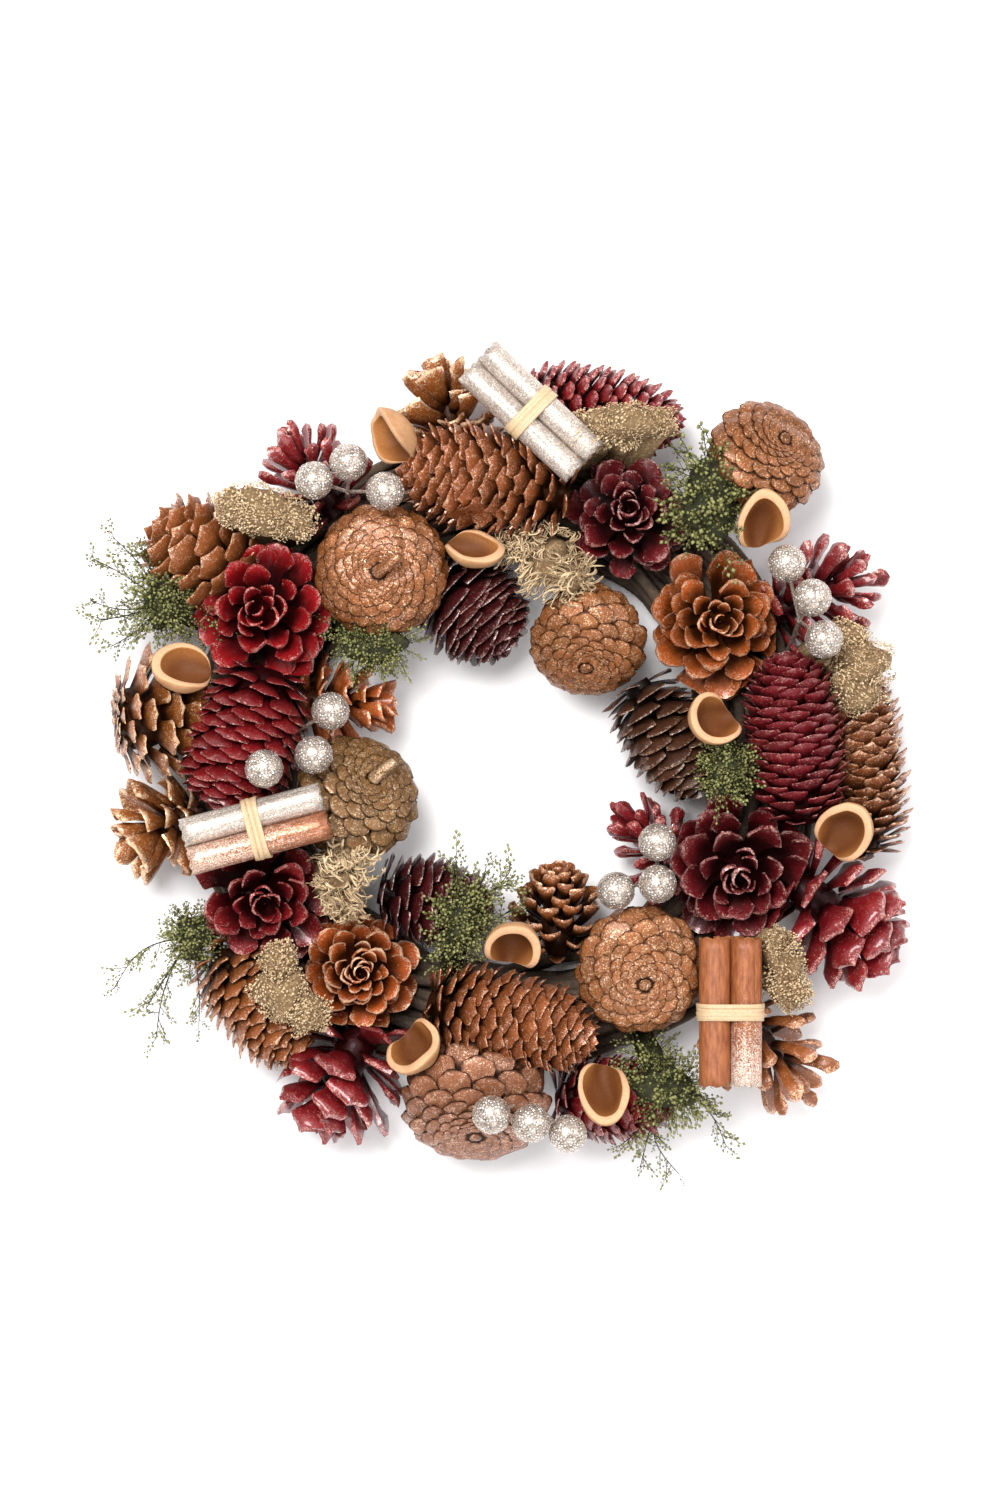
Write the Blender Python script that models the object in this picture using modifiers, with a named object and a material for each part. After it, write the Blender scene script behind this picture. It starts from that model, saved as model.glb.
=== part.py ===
"""Pinecone wreath: cones, seed pods, cinnamon bundles, glitter balls and moss on a vine ring.

Metres, +Z up. The wreath lies on its flat back with its face up, and its top points along +Y.
The origin is the middle of the ring, on the surface that the wreath lies on. Places are given
in millimetres and angles in degrees. A heading is measured from +X towards +Y, and a pitch
from the surface up towards +Z.
"""

import math
import random
from typing import NamedTuple

import bmesh
import bpy
from mathutils import Matrix, Vector

MM = 0.001

# Ring of bundled vine
RING_RADIUS = 117 * MM
RING_HALF_WIDTH = 28 * MM
RING_HEIGHT = 26 * MM
RING_SINK = 6 * MM
RING_LOBES = 3
RING_LOBE_DEPTH = 0.06
RING_TURNS = 9
RING_STEPS_ROUND = 24
RING_STEPS_SECTION = 6

# Fits
GAP = 0.3 * MM
RING_GAP = 0.4 * MM
FLOOR_CLEARANCE = 1 * MM
WORK_HALF = 260 * MM
WORK_TOP = 160 * MM
WELD = 0.01 * MM

# Cones: each is grown a little larger than its place, and is trimmed by its neighbours
CROWDING = 1.09
NEIGHBOUR_REACH = 1.5
SPINE_END_SHARE = 0.9
SHORTEST_SPINE_HALF = 0.01
ROLL_STEP = 40
GOLDEN_ANGLE = math.radians(137.508)
CORE_SIDES = 5
CORE_RINGS = 4
CORE_LENGTH_SHARE = 0.96
FIRST_SCALE_SHARE = -0.36
SCALES_SPAN_SHARE = 0.62
REACH_CURVE = 1.5
STUB_SIDES = 6
STUB_RADIUS = 2.8 * MM
STUB_END_RADIUS = 2.2 * MM

# Glitter balls and their wires
BALL_RADIUS = 8.4 * MM
ICOSAHEDRON_INSIDE = 0.79
WIRE_RADIUS = 0.8 * MM
WIRE_GAP = 0.45 * MM
WIRE_HUB_SHARE = 0.62
WIRE_FOOT_HEIGHT = 22 * MM

# Cinnamon bundles
STICK_WALL = 2.2 * MM
STICK_SIDES = 8
STICK_PRESS = 0.4 * MM
TIE_WIDTH = 8 * MM
TIE_THICKNESS = 1.2 * MM

# Seed pods
POD_WALL = 2.2 * MM
POD_SIDES = 8
POD_RINGS = 3
POD_POINT = 0.18
POD_NARROWING = 0.25
POD_CURL = 0.12

# Moss
MOSS_FOOT_RADIUS = 5 * MM
MOSS_FOOT_HEIGHT = 17 * MM
MOSS_FOOT_REACH = 16 * MM
MOSS_CORE_SHARE = 0.66
MOSS_SPACE_SHARE = 1.18
BRANCH_START_SHARE = 0.45
BRANCH_TIP_SHARE = 0.96
BRANCH_TOP = 0.95
BRANCH_DROP = 1.05
LICHEN_BRANCH_RADIUS = 2.2 * MM
GREEN_BRANCH_RADIUS = 1.6 * MM
SPRAY_BRANCH_RADIUS = 1.44 * MM
PRONG_TAPER = 0.55
SPRIG_RADIUS = 0.8 * MM
SPRIG_WANDER = 4
SPRIG_SIDE_LOSS = 0.25
SPRIG_TWIGS = 2
TWIG_FIRST_SHARE = 0.4
TWIG_STEP_SHARE = 0.18
TWIG_LENGTH_SHARE = 0.22
TWIG_LEAN = 0.9
TWIG_RADIUS = 0.72 * MM
SEED = 11

# Edges that bend more than this many degrees stay sharp
SHARP_ANGLE = 35
SHARP_ANGLE_CONE = 20
SHARP_ANGLE_BUNDLE = 50
SHARP_ANGLE_BALL = 70

COLOURS = {
    "crimson": ("#9A1F24", 0.42),
    "maroon": ("#571A24", 0.42),
    "dark_red": ("#7C1C24", 0.42),
    "orange_brown": ("#A0602F", 0.45),
    "toffee": ("#9A6236", 0.45),
    "copper": ("#A8622F", 0.40),
    "light_copper": ("#B98A60", 0.40),
    "gold_tan": ("#B88A58", 0.38),
    "olive_gold": ("#8F7350", 0.38),
    "pink_tan": ("#B28A72", 0.40),
    "brown": ("#6B4226", 0.50),
    "dark_brown": ("#3A2218", 0.50),
    "pod_tan": ("#D2A873", 0.60),
    "glitter_silver": ("#C9C0AC", 0.25),
    "cinnamon": ("#B5754A", 0.65),
    "cinnamon_silver": ("#CFC2B0", 0.35),
    "cinnamon_rose": ("#C08A68", 0.40),
    "raffia": ("#EBD3A0", 0.70),
    "moss_green": ("#5F6F45", 0.85),
    "vine": ("#6A5A4A", 0.80),
}
METALS = {"glitter_silver"}


class OpenForm(NamedTuple):
    """How the scales of an open cone stand. Shares are of the cone's radius or length."""

    scales: int
    rings: int
    core: float
    width: float
    width_at_tip: float
    thickness: float
    lean_at_base: float
    lean_at_tip: float
    reach_at_tip: float
    shoulder: float


class ClosedForm(NamedTuple):
    """How the scales of a closed cone lie. Lift and slide are shares of the cone's radius.

    Crowd draws the rows towards both ends: 0 spaces them evenly, 1 as on a ball.
    """

    around: int
    rows: int
    fullness: float
    widest: float
    crowd: float
    lift: float
    slide: float


class Cone(NamedTuple):
    colour: str
    x: float
    y: float
    z: float
    heading: float
    pitch: float
    radius: float
    length: float
    stem: float = 0


class Fan(NamedTuple):
    """How the long sprigs of a spray fan out: the heading of the middle one and so on."""

    sprigs: int
    heading: float
    spread: float
    rise: tuple
    length: float


class Pod(NamedTuple):
    x: float
    y: float
    z: float
    heading: float
    pitch: float
    roll: float
    length: float
    width: float
    depth: float


class Moss(NamedTuple):
    x: float
    y: float
    z: float
    heading: float
    half_length: float
    half_width: float
    half_height: float
    branches: int


ROSETTE = OpenForm(14, 3, 0.36, 1.00, 0.52, 0.17, 2, 64, 0.34, 0.90)
FINGER = OpenForm(11, 2, 0.52, 1.10, 0.90, 0.36, 16, 48, 0.60, 0.76)
LONG = ClosedForm(6, 8, 0.62, 0.42, 0.0, 0.20, 0.26)
SHIELD = ClosedForm(8, 7, 0.60, 0.40, 0.8, 0.15, 0.0)

ROSETTE_CONES = [
    Cone("maroon", 55, 107, 44, 90, 80, 25.5, 48),
    Cone("orange_brown", 95, 59, 44, 0, 85, 28.5, 48),
    Cone("maroon", 104, -51, 44, -90, 75, 30, 48),
    Cone("toffee", -63, -95, 44, 0, 85, 25.5, 48),
    Cone("dark_red", -105, -63, 44, -60, 75, 27, 48),
    Cone("crimson", -106, 64, 44, 180, 85, 29, 48),
]
SHIELD_CONES = [
    Cone("copper", 113, 129, 38, 225, -50, 27, 50),
    Cone("gold_tan", 38, 55, 34, 85, -45, 26, 52),
    Cone("gold_tan", 60, -92, 45, 100, -70, 28.5, 46),
    Cone("pink_tan", -12, -148, 38, 90, -40, 33, 54),
    Cone("olive_gold", -67, -20, 35, 225, -50, 28, 54, 8),
    Cone("copper", -53, 82, 45, 60, -85, 31, 46, 10),
]
LONG_CONES = [
    Cone("dark_red", 45, 153, 27, -10, 0, 20, 75),
    Cone("copper", -7, 121, 46, 170, 0, 22, 76),
    Cone("crimson", 128, 9, 45, 97, 4, 20, 81),
    Cone("light_copper", 158, -1, 27, 95, 0, 19, 88),
    Cone("dark_red", 48, -152, 25, 0, 0, 18, 52),
    Cone("copper", 3, -116, 44, -14, 0, 20, 77),
    Cone("brown", -108, -108, 28, -50, 0, 20, 62),
    Cone("crimson", -113, 8, 47, -110, 0, 24, 68),
]
FINGER_CONES = [
    Cone("copper", -25, 156, 28, 110, 10, 22, 52),
    Cone("dark_red", 143, 74, 29, 24, 10, 24, 64),
    Cone("dark_brown", 73, 8, 28, -60, 0, 21, 62),
    Cone("dark_red", 67, -37, 27, 135, 10, 20, 56),
    Cone("dark_red", 147, -70, 32, -38, -6, 26, 64),
    Cone("brown", 24, -69, 28, 90, 15, 21, 46),
    Cone("brown", 119, -130, 28, -48, 0, 22, 58),
    Cone("dark_red", -30, -64, 28, -10, 0, 20, 55),
    Cone("dark_red", -71, -139, 30, -118, 5, 26, 54),
    Cone("brown", -67, 25, 28, 0, 12, 20, 50),
    Cone("light_copper", -152, -32, 28, 205, 12, 24, 48),
    Cone("gold_tan", -150, 18, 36, 5, -12, 27, 50),
    Cone("brown", -128, 87, 28, 148, 0, 20, 54),
    Cone("dark_red", -85, 125, 30, 122, 12, 22, 50),
    Cone("dark_red", -14, 66, 28, 230, 0, 21, 58),
]

PODS = [
    Pod(113, 101, 63, -80, 50, 90, 31, 26, 14),
    Pod(94, 18, 61, 10, 62, 90, 27, 25, 13),
    Pod(147, -34, 57, -150, 55, 60, 31, 24, 13),
    Pod(44, -144, 55, 95, 55, 0, 34, 23, 13),
    Pod(4, -85, 59, -70, 48, 90, 27, 25, 14),
    Pod(-41, -124, 59, 140, 50, 80, 31, 24, 14),
    Pod(-138, 41, 63, 50, 62, 80, 29, 24, 13),
    Pod(-53, 139, 57, 190, 45, 80, 30, 24, 13),
    Pod(-12, 95, 61, 55, 50, 80, 30, 24, 14),
]

# The three balls of each pick, then the foot of its wires on the ring
BALL_PICKS = [
    [(123, 84, 66), (134, 69, 67), (139, 51, 67), (126, 46)],
    [(67, -37, 62), (67, -55, 64), (49, -58, 62), (78, -60)],
    [(-5, -154, 76), (12, -158, 74), (28, -163, 68), (10, -134)],
    [(-75, 20, 60), (-82, 1, 66), (-103, -5, 74), (-94, 22)],
    [(-82, 120, 64), (-67, 128, 64), (-51, 115, 70), (-70, 108)],
]

# Middle, heading, length and stick radius of each bundle
BUNDLES = {
    "top": ("cinnamon_silver", (12, 150, 62), -43.5, 64, 6.2),
    "right": ("cinnamon", (99, -111, 58), 90, 64, 7),
    "left": ("cinnamon_rose", (-107, -31, 68), 15, 62, 6.4),
}

LICHENS = [
    Moss(54, 146, 56, 20, 19, 12, 11, 4),
    Moss(155, 40, 48, 90, 17, 15, 12, 4),
    Moss(124, -92, 52, 100, 17, 11, 11, 4),
    Moss(-94, -102, 54, 120, 17, 14, 11, 4),
    Moss(-67, -54, 50, 100, 17, 14, 11, 4),
    Moss(-105, 104, 56, 165, 20, 11, 11, 4),
    Moss(21, 84, 48, 150, 21, 17, 12, 4),
]
INNER_GREENS = [
    Moss(93, 117, 50, 80, 24, 13, 14, 4),
    Moss(98, -7, 52, 20, 16, 11, 10, 4),
    Moss(-56, 47, 46, 10, 22, 11, 12, 4),
]
OUTER_GREENS = [
    (Moss(72, -148, 40, -10, 24, 15, 13, 4), Fan(4, -75, 50, (-20, 4), 42)),
    (Moss(-18, -71, 48, 70, 20, 13, 13, 4), Fan(4, 50, 40, (-10, 25), 36)),
    (Moss(-138, -80, 36, 100, 21, 11, 12, 4), Fan(4, -110, 40, (-25, 0), 52)),
    (Moss(-150, 68, 38, 80, 21, 14, 13, 4), Fan(4, 165, 60, (-20, 20), 41)),
]


def clear_scene():
    for obj in list(bpy.data.objects):
        bpy.data.objects.remove(obj, do_unlink=True)


def new_collection(name):
    collection = bpy.data.collections.new(name)
    bpy.context.scene.collection.children.link(collection)
    return collection


def linear(channel):
    """A colour channel from its sRGB value to its linear one."""
    if channel <= 0.04045:
        return channel / 12.92
    return ((channel + 0.055) / 1.055) ** 2.4


def material(name):
    """The material of a named colour, made the first time it is asked for."""
    found = bpy.data.materials.get(name)
    if found:
        return found
    code, roughness = COLOURS[name]
    channels = [linear(int(code[i : i + 2], 16) / 255) for i in (1, 3, 5)]
    made = bpy.data.materials.new(name)
    made.use_nodes = True
    shader = made.node_tree.nodes["Principled BSDF"]
    shader.inputs["Base Color"].default_value = (*channels, 1)
    shader.inputs["Roughness"].default_value = roughness
    shader.inputs["Metallic"].default_value = 1.0 if name in METALS else 0.0
    return made


def mesh_object(name, shape, collection, place=None):
    """An object from a bmesh, which is freed, in a collection. Its faces are made triangles."""
    shape.normal_update()
    bmesh.ops.recalc_face_normals(shape, faces=shape.faces)
    bmesh.ops.triangulate(shape, faces=shape.faces)
    mesh = bpy.data.meshes.new(name)
    shape.to_mesh(mesh)
    shape.free()
    obj = bpy.data.objects.new(name, mesh)
    collection.objects.link(obj)
    if place is not None:
        obj.matrix_world = place
    return obj


def helper(name, shape, place=None):
    """A cutter, or a shape that is joined to another, kept out of the model."""
    obj = mesh_object(name, shape, HELPERS, place)
    obj.hide_render = True
    obj.display_type = "WIRE"
    return obj


def pose(x, y, z, heading, pitch, roll=0):
    """The place of a piece whose own +Z points along the heading and pitch."""
    middle = Matrix.Translation(Vector((x, y, z)) * MM)
    turn = Matrix.Rotation(math.radians(heading), 4, "Z")
    lean = Matrix.Rotation(math.radians(90 - pitch), 4, "Y")
    return middle @ turn @ lean @ Matrix.Rotation(math.radians(roll), 4, "Z")


def evaluated_mesh(obj):
    graph = bpy.context.evaluated_depsgraph_get()
    return bpy.data.meshes.new_from_object(obj.evaluated_get(graph), depsgraph=graph)


def boolean(target, others, operation, keep=False):
    """Joins the others to the target, or cuts them from it, and removes them unless kept."""
    if not others:
        return
    operands = bpy.data.collections.new("operands")
    HELPERS.children.link(operands)
    for obj in others:
        operands.objects.link(obj)
    change = target.modifiers.new("combine", "BOOLEAN")
    change.operation = operation
    change.solver = "MANIFOLD"
    change.operand_type = "COLLECTION"
    change.collection = operands
    mesh = evaluated_mesh(target)
    target.modifiers.remove(change)
    target.data = mesh
    bpy.data.collections.remove(operands)
    if not keep:
        for obj in others:
            bpy.data.objects.remove(obj, do_unlink=True)


def keep_largest_body(obj):
    """Drops loose scraps and sealed hollows: only the surface with the largest box stays."""
    shape = bmesh.new()
    shape.from_mesh(obj.data)
    bodies = []
    unseen = set(shape.faces)
    while unseen:
        front = [unseen.pop()]
        body = set(front)
        while front:
            face = front.pop()
            near = {other for edge in face.edges for other in edge.link_faces} & unseen
            unseen -= near
            body |= near
            front += near
        bodies.append(body)
    bodies.sort(key=box_diagonal, reverse=True)
    for body in bodies[1:]:
        bmesh.ops.delete(shape, geom=list(body), context="FACES")
    shape.to_mesh(obj.data)
    shape.free()


def box_diagonal(faces):
    points = [vertex.co for face in faces for vertex in face.verts]
    spans = [[point[axis] for point in points] for axis in range(3)]
    return math.dist([min(span) for span in spans], [max(span) for span in spans])


def grown_hull(points, gap=0):
    """The convex hull of some points, grown from its middle until each face is off by the gap."""
    shape = bmesh.new()
    for point in points:
        shape.verts.new(point)
    hull = bmesh.ops.convex_hull(shape, input=shape.verts)
    spare = set(hull["geom_interior"]) | set(hull["geom_unused"])
    spare = [item for item in spare if isinstance(item, bmesh.types.BMVert)]
    bmesh.ops.delete(shape, geom=spare, context="VERTS")
    shape.normal_update()
    middle = sum((vertex.co for vertex in shape.verts), Vector()) / len(shape.verts)
    inside = min(abs((face.calc_center_median() - middle).dot(face.normal)) for face in shape.faces)
    for vertex in shape.verts:
        vertex.co = middle + (vertex.co - middle) * (1 + gap / inside)
    return shape


def world_points(obj):
    return [obj.matrix_world @ vertex.co for vertex in obj.data.vertices]


def ring_shape(growth):
    """The vine bundle: a lobed torus, twisted like a rope and flat where it rests."""
    bpy.ops.mesh.primitive_torus_add(
        major_radius=1, minor_radius=0.25,
        major_segments=RING_STEPS_ROUND, minor_segments=RING_STEPS_SECTION,
    )
    torus = bpy.context.object
    shape = bmesh.new()
    shape.from_mesh(torus.data)
    bpy.data.objects.remove(torus, do_unlink=True)
    middle = (RING_HEIGHT - RING_SINK) / 2
    half_height = (RING_HEIGHT + RING_SINK) / 2
    for vertex in shape.verts:
        around = math.atan2(vertex.co.y, vertex.co.x)
        section = math.atan2(vertex.co.z, math.hypot(vertex.co.x, vertex.co.y) - 1)
        lobe = 1 + RING_LOBE_DEPTH * math.cos(RING_LOBES * section + RING_TURNS * around)
        width = RING_HALF_WIDTH * lobe + growth
        height = half_height * lobe + growth
        reach = RING_RADIUS + width * math.cos(section)
        rise = max(middle + height * math.sin(section), -growth)
        vertex.co = (reach * math.cos(around), reach * math.sin(around), rise)
    return shape


def open_scale(form, width, length, thickness):
    """One keeled scale of an open cone, three-sided, from the origin out along +X."""
    shape = bmesh.new()
    bmesh.ops.create_uvsphere(shape, u_segments=3, v_segments=form.rings, radius=1)
    for vertex in shape.verts:
        row = round(math.acos(max(-1, min(1, vertex.co.z))) / math.pi * form.rings)
        out = (row / form.rings) ** 0.5 * form.shoulder if row < form.rings else 1
        flat = math.hypot(vertex.co.x, vertex.co.y)
        share = out / form.shoulder / flat if 0 < row < form.rings else 0
        across = -vertex.co.y * share * width / math.sqrt(3)
        vertex.co = (out * length, across, vertex.co.x * share * thickness * 2 / 3)
    return shape


def open_cone(form, radius, length):
    """An open cone along +Z, base down: scales set by the golden angle on a slim core."""
    core = bmesh.new()
    bmesh.ops.create_uvsphere(core, u_segments=CORE_SIDES, v_segments=CORE_RINGS, radius=1)
    size = Vector((form.core * radius, form.core * radius, CORE_LENGTH_SHARE * length / 2))
    bmesh.ops.scale(core, verts=core.verts, vec=size)
    body = helper("core", core)
    scales = []
    for number in range(form.scales):
        rise = number / (form.scales - 1)
        reach = radius * (1 - (1 - form.reach_at_tip) * rise**REACH_CURVE)
        lean = math.radians(form.lean_at_base + (form.lean_at_tip - form.lean_at_base) * rise)
        width = radius * form.width * (1 - (1 - form.width_at_tip) * rise)
        shape = open_scale(form, width, reach / math.cos(min(lean, 1.0)), form.thickness * radius)
        foot = length * (FIRST_SCALE_SHARE + SCALES_SPAN_SHARE * rise)
        place = (
            Matrix.Rotation(number * GOLDEN_ANGLE, 4, "Z")
            @ Matrix.Translation((0, 0, foot))
            @ Matrix.Rotation(-lean, 4, "Y")
        )
        scales.append(helper("scale", shape, place))
    boolean(body, scales, "UNION")
    return body


def closed_cone(form, radius, length, stem):
    """A closed cone along +Z, base down: a lattice of scales, each raised to a point."""
    shape = bmesh.new()
    bmesh.ops.create_uvsphere(shape, u_segments=form.around, v_segments=form.rows, radius=1)
    half_step = math.pi / form.around
    row_of = {}
    for vertex in shape.verts:
        row = round(math.acos(max(-1, min(1, vertex.co.z))) / math.pi * form.rows)
        row_of[vertex] = row
        rise = 1 - row / form.rows
        rise += form.crowd * (0.5 - 0.5 * math.cos(math.pi * rise) - rise)
        bend = rise ** (math.log(0.5) / math.log(form.widest))
        reach = radius * math.sin(math.pi * bend) ** form.fullness if 0 < row < form.rows else 0
        angle = math.atan2(vertex.co.y, vertex.co.x) + row * half_step
        vertex.co = (reach * math.cos(angle), reach * math.sin(angle), (rise - 0.5) * length)
    in_row = {edge for edge in shape.edges if row_of[edge.verts[0]] == row_of[edge.verts[1]]}
    bmesh.ops.triangulate(shape, faces=shape.faces, quad_method="SHORT_EDGE")
    bmesh.ops.dissolve_edges(shape, edges=list(in_row), use_verts=False)
    raised = bmesh.ops.poke(shape, faces=shape.faces, offset=form.lift * radius)
    for vertex in raised["verts"]:
        vertex.co.z += form.slide * radius
    body = helper("closed", shape)
    if stem:
        stub = bmesh.new()
        bmesh.ops.create_cone(
            stub, cap_ends=True, segments=STUB_SIDES,
            radius1=STUB_END_RADIUS, radius2=STUB_RADIUS, depth=2 * stem * MM,
        )
        place = Matrix.Translation((0, 0, -length / 2))
        boolean(body, [helper("stub", stub, place)], "UNION")
    return body


def cone_axis(cone):
    return (pose(0, 0, 0, cone.heading, cone.pitch).to_3x3() @ Vector((0, 0, 1))).normalized()


def cone_spine(cone):
    """The ends of the middle line of the capsule that a cone fills, in metres."""
    middle = Vector((cone.x, cone.y, cone.z)) * MM
    half = max(cone.length / 2 - SPINE_END_SHARE * cone.radius, SHORTEST_SPINE_HALF) * MM
    return middle - cone_axis(cone) * half, middle + cone_axis(cone) * half


def on_segment(point, ends):
    along = ends[1] - ends[0]
    share = (point - ends[0]).dot(along) / along.length_squared
    return ends[0] + along * max(0, min(1, share))


def nearest_points(first, second):
    """The points where two segments come nearest each other, found by turns."""
    point = (first[0] + first[1]) / 2
    for _ in range(20):
        other = on_segment(point, second)
        point = on_segment(other, first)
    return point, other


def cell(cone, cones):
    """The space that is a cone's own: a box cut by a plane between it and each neighbour."""
    shape = bmesh.new()
    size = Vector((2 * WORK_HALF, 2 * WORK_HALF, WORK_TOP))
    bmesh.ops.create_cube(shape, size=1)
    bmesh.ops.scale(shape, verts=shape.verts, vec=size)
    bmesh.ops.translate(shape, verts=shape.verts, vec=(0, 0, WORK_TOP / 2 + FLOOR_CLEARANCE))
    for other in cones:
        if other is cone:
            continue
        mine, theirs = nearest_points(cone_spine(cone), cone_spine(other))
        between = theirs - mine
        reach = (cone.radius + other.radius) * MM
        if between.length > NEIGHBOUR_REACH * reach:
            continue
        share = cone.radius / (cone.radius + other.radius)
        normal = between.normalized()
        wall = mine + normal * (between.length * share - GAP / 2)
        geometry = shape.verts[:] + shape.edges[:] + shape.faces[:]
        cut = bmesh.ops.bisect_plane(
            shape, geom=geometry, dist=1e-7, plane_co=wall, plane_no=normal, clear_outer=True
        )
        rim = [g for g in cut["geom_cut"] if isinstance(g, bmesh.types.BMEdge)]
        if rim:
            bmesh.ops.holes_fill(shape, edges=rim)
    return helper("cell", shape)


def intersect(target, cutter):
    change = target.modifiers.new("keep", "BOOLEAN")
    change.operation = "INTERSECT"
    change.solver = "MANIFOLD"
    change.object = cutter
    mesh = evaluated_mesh(target)
    target.modifiers.remove(change)
    target.data = mesh
    bpy.data.objects.remove(cutter, do_unlink=True)


def finish(obj, name, colour, angle=SHARP_ANGLE):
    """Names a finished piece, moves it to the model and gives it its material."""
    obj.name = name
    obj.data.name = name
    obj.hide_render = False
    obj.display_type = "TEXTURED"
    HELPERS.objects.unlink(obj)
    WREATH.objects.link(obj)
    obj.data.materials.clear()
    obj.data.materials.append(material(colour))
    obj.data.shade_smooth()
    obj.data.set_sharp_from_angle(angle=math.radians(angle))


def stick(place, radius, length):
    """A cinnamon quill: a hollow tube along +X of its place."""
    shape = bmesh.new()
    corner = radius / math.cos(math.pi / STICK_SIDES)
    bmesh.ops.create_cone(
        shape, cap_ends=False, segments=STICK_SIDES, radius1=corner, radius2=corner, depth=length
    )
    obj = helper("stick", shape, place @ Matrix.Rotation(math.radians(90), 4, "Y"))
    wall = obj.modifiers.new("wall", "SOLIDIFY")
    wall.thickness = STICK_WALL
    wall.offset = -1
    obj.data = evaluated_mesh(obj)
    obj.modifiers.remove(wall)
    return obj


def bundle_places(middle, heading, radius):
    """The places of three sticks: two side by side and one under them."""
    centre = Matrix.Translation(Vector(middle) * MM) @ Matrix.Rotation(math.radians(heading), 4, "Z")
    apart = radius - STICK_PRESS / 2
    spots = [(0, -apart, 0), (0, apart, 0), (0, 0, -apart * math.sqrt(3))]
    return [centre @ Matrix.Translation(spot) for spot in spots]


def bundle(middle, heading, length, radius):
    places = bundle_places(middle, heading, radius * MM)
    sticks = [stick(place, radius * MM, length * MM) for place in places]
    for obj in sticks[1:]:
        boolean(sticks[0], [obj], "UNION")
    return sticks[0]


def tie_band(middle, heading, radius, growth, width):
    """The hull of the three sticks over a short stretch, as far outside them as asked."""
    points = []
    for place in bundle_places(middle, heading, radius * MM):
        for side in range(STICK_SIDES):
            angle = 2 * math.pi * side / STICK_SIDES
            reach = (radius * MM + growth) / math.cos(math.pi / STICK_SIDES)
            for end in (-width / 2, width / 2):
                points.append(place @ Vector((end, reach * math.cos(angle), reach * math.sin(angle))))
    return helper("band", grown_hull(points))


def raffia_tie(middle, heading, radius):
    band = tie_band(middle, heading, radius, GAP + TIE_THICKNESS, TIE_WIDTH)
    core = tie_band(middle, heading, radius, GAP, 2 * TIE_WIDTH)
    boolean(band, [core], "DIFFERENCE")
    return band


def wire(points, radius=WIRE_RADIUS):
    """A round wire along some points, as a closed mesh."""
    curve = bpy.data.curves.new("wire", "CURVE")
    curve.dimensions = "3D"
    curve.bevel_depth = radius
    curve.bevel_resolution = 0
    curve.use_fill_caps = True
    spline = curve.splines.new("POLY")
    spline.points.add(len(points) - 1)
    for spot, point in zip(spline.points, points):
        spot.co = (*point, 1)
    tube = bpy.data.objects.new("wire", curve)
    HELPERS.objects.link(tube)
    mesh = evaluated_mesh(tube)
    bpy.data.objects.remove(tube, do_unlink=True)
    shape = bmesh.new()
    shape.from_mesh(mesh)
    bmesh.ops.remove_doubles(shape, verts=shape.verts, dist=WELD)
    return helper("wire", shape)


def pick_wires(spots):
    """The ends of a pick's wires: one from each ball to the hub, and the stem from there."""
    foot = Vector((*spots[3], WIRE_FOOT_HEIGHT / MM)) * MM
    balls = [Vector(spot) * MM for spot in spots[:3]]
    hub = (balls[0] + balls[1] + balls[2]) / 3 * WIRE_HUB_SHARE + foot * (1 - WIRE_HUB_SHARE)
    return [(ball, hub) for ball in balls] + [(hub, foot)]


def ball_pick(spots):
    """Three balls whose wires come together in one stem that stands on the ring."""
    pieces = []
    for spot in spots[:3]:
        shape = bmesh.new()
        bmesh.ops.create_uvsphere(shape, u_segments=7, v_segments=5, radius=BALL_RADIUS)
        pieces.append(helper("ball", shape, Matrix.Translation(Vector(spot) * MM)))
    pieces += [wire(ends) for ends in pick_wires(spots)]
    boolean(pieces[0], pieces[1:], "UNION")
    return pieces[0]


def pick_hulls(spots):
    """The space that a pick needs, as one cutter for each ball and each wire."""
    hulls = []
    for spot in spots[:3]:
        shape = bmesh.new()
        reach = (BALL_RADIUS + GAP) / ICOSAHEDRON_INSIDE
        bmesh.ops.create_icosphere(shape, subdivisions=1, radius=reach)
        hulls.append(helper("space", shape, Matrix.Translation(Vector(spot) * MM)))
    for start, end in pick_wires(spots):
        past = (end - start).normalized() * WIRE_GAP
        hulls.append(wire([start - past, end + past], WIRE_RADIUS + WIRE_GAP))
    return hulls


def pod_shape(pod):
    """A half shell that opens along +Z, pointed at one end and thick at its rim."""
    shape = bmesh.new()
    bmesh.ops.create_uvsphere(shape, u_segments=POD_SIDES, v_segments=2 * POD_RINGS, radius=1)
    upper = [vertex for vertex in shape.verts if vertex.co.z > 0.01]
    bmesh.ops.delete(shape, geom=upper, context="VERTS")
    for vertex in shape.verts:
        vertex.co.x *= 1 + POD_POINT * max(vertex.co.x, 0) ** 3
        narrowing = 1 - POD_NARROWING * max(vertex.co.x, 0) ** 2
        vertex.co.x *= pod.length / 2 * MM
        vertex.co.y *= pod.width / 2 * MM * narrowing
        vertex.co.z *= pod.depth * MM
        vertex.co.z += POD_CURL * vertex.co.x**2 / (pod.length * MM)
    return shape


def seed_pod(pod):
    obj = helper("pod", pod_shape(pod), pose(pod.x, pod.y, pod.z, pod.heading, pod.pitch, pod.roll))
    wall = obj.modifiers.new("wall", "SOLIDIFY")
    wall.thickness = POD_WALL
    wall.offset = 1
    obj.data = evaluated_mesh(obj)
    obj.modifiers.remove(wall)
    return obj


def moss_centre(moss):
    return Vector((moss.x, moss.y, moss.z)) * MM


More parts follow.
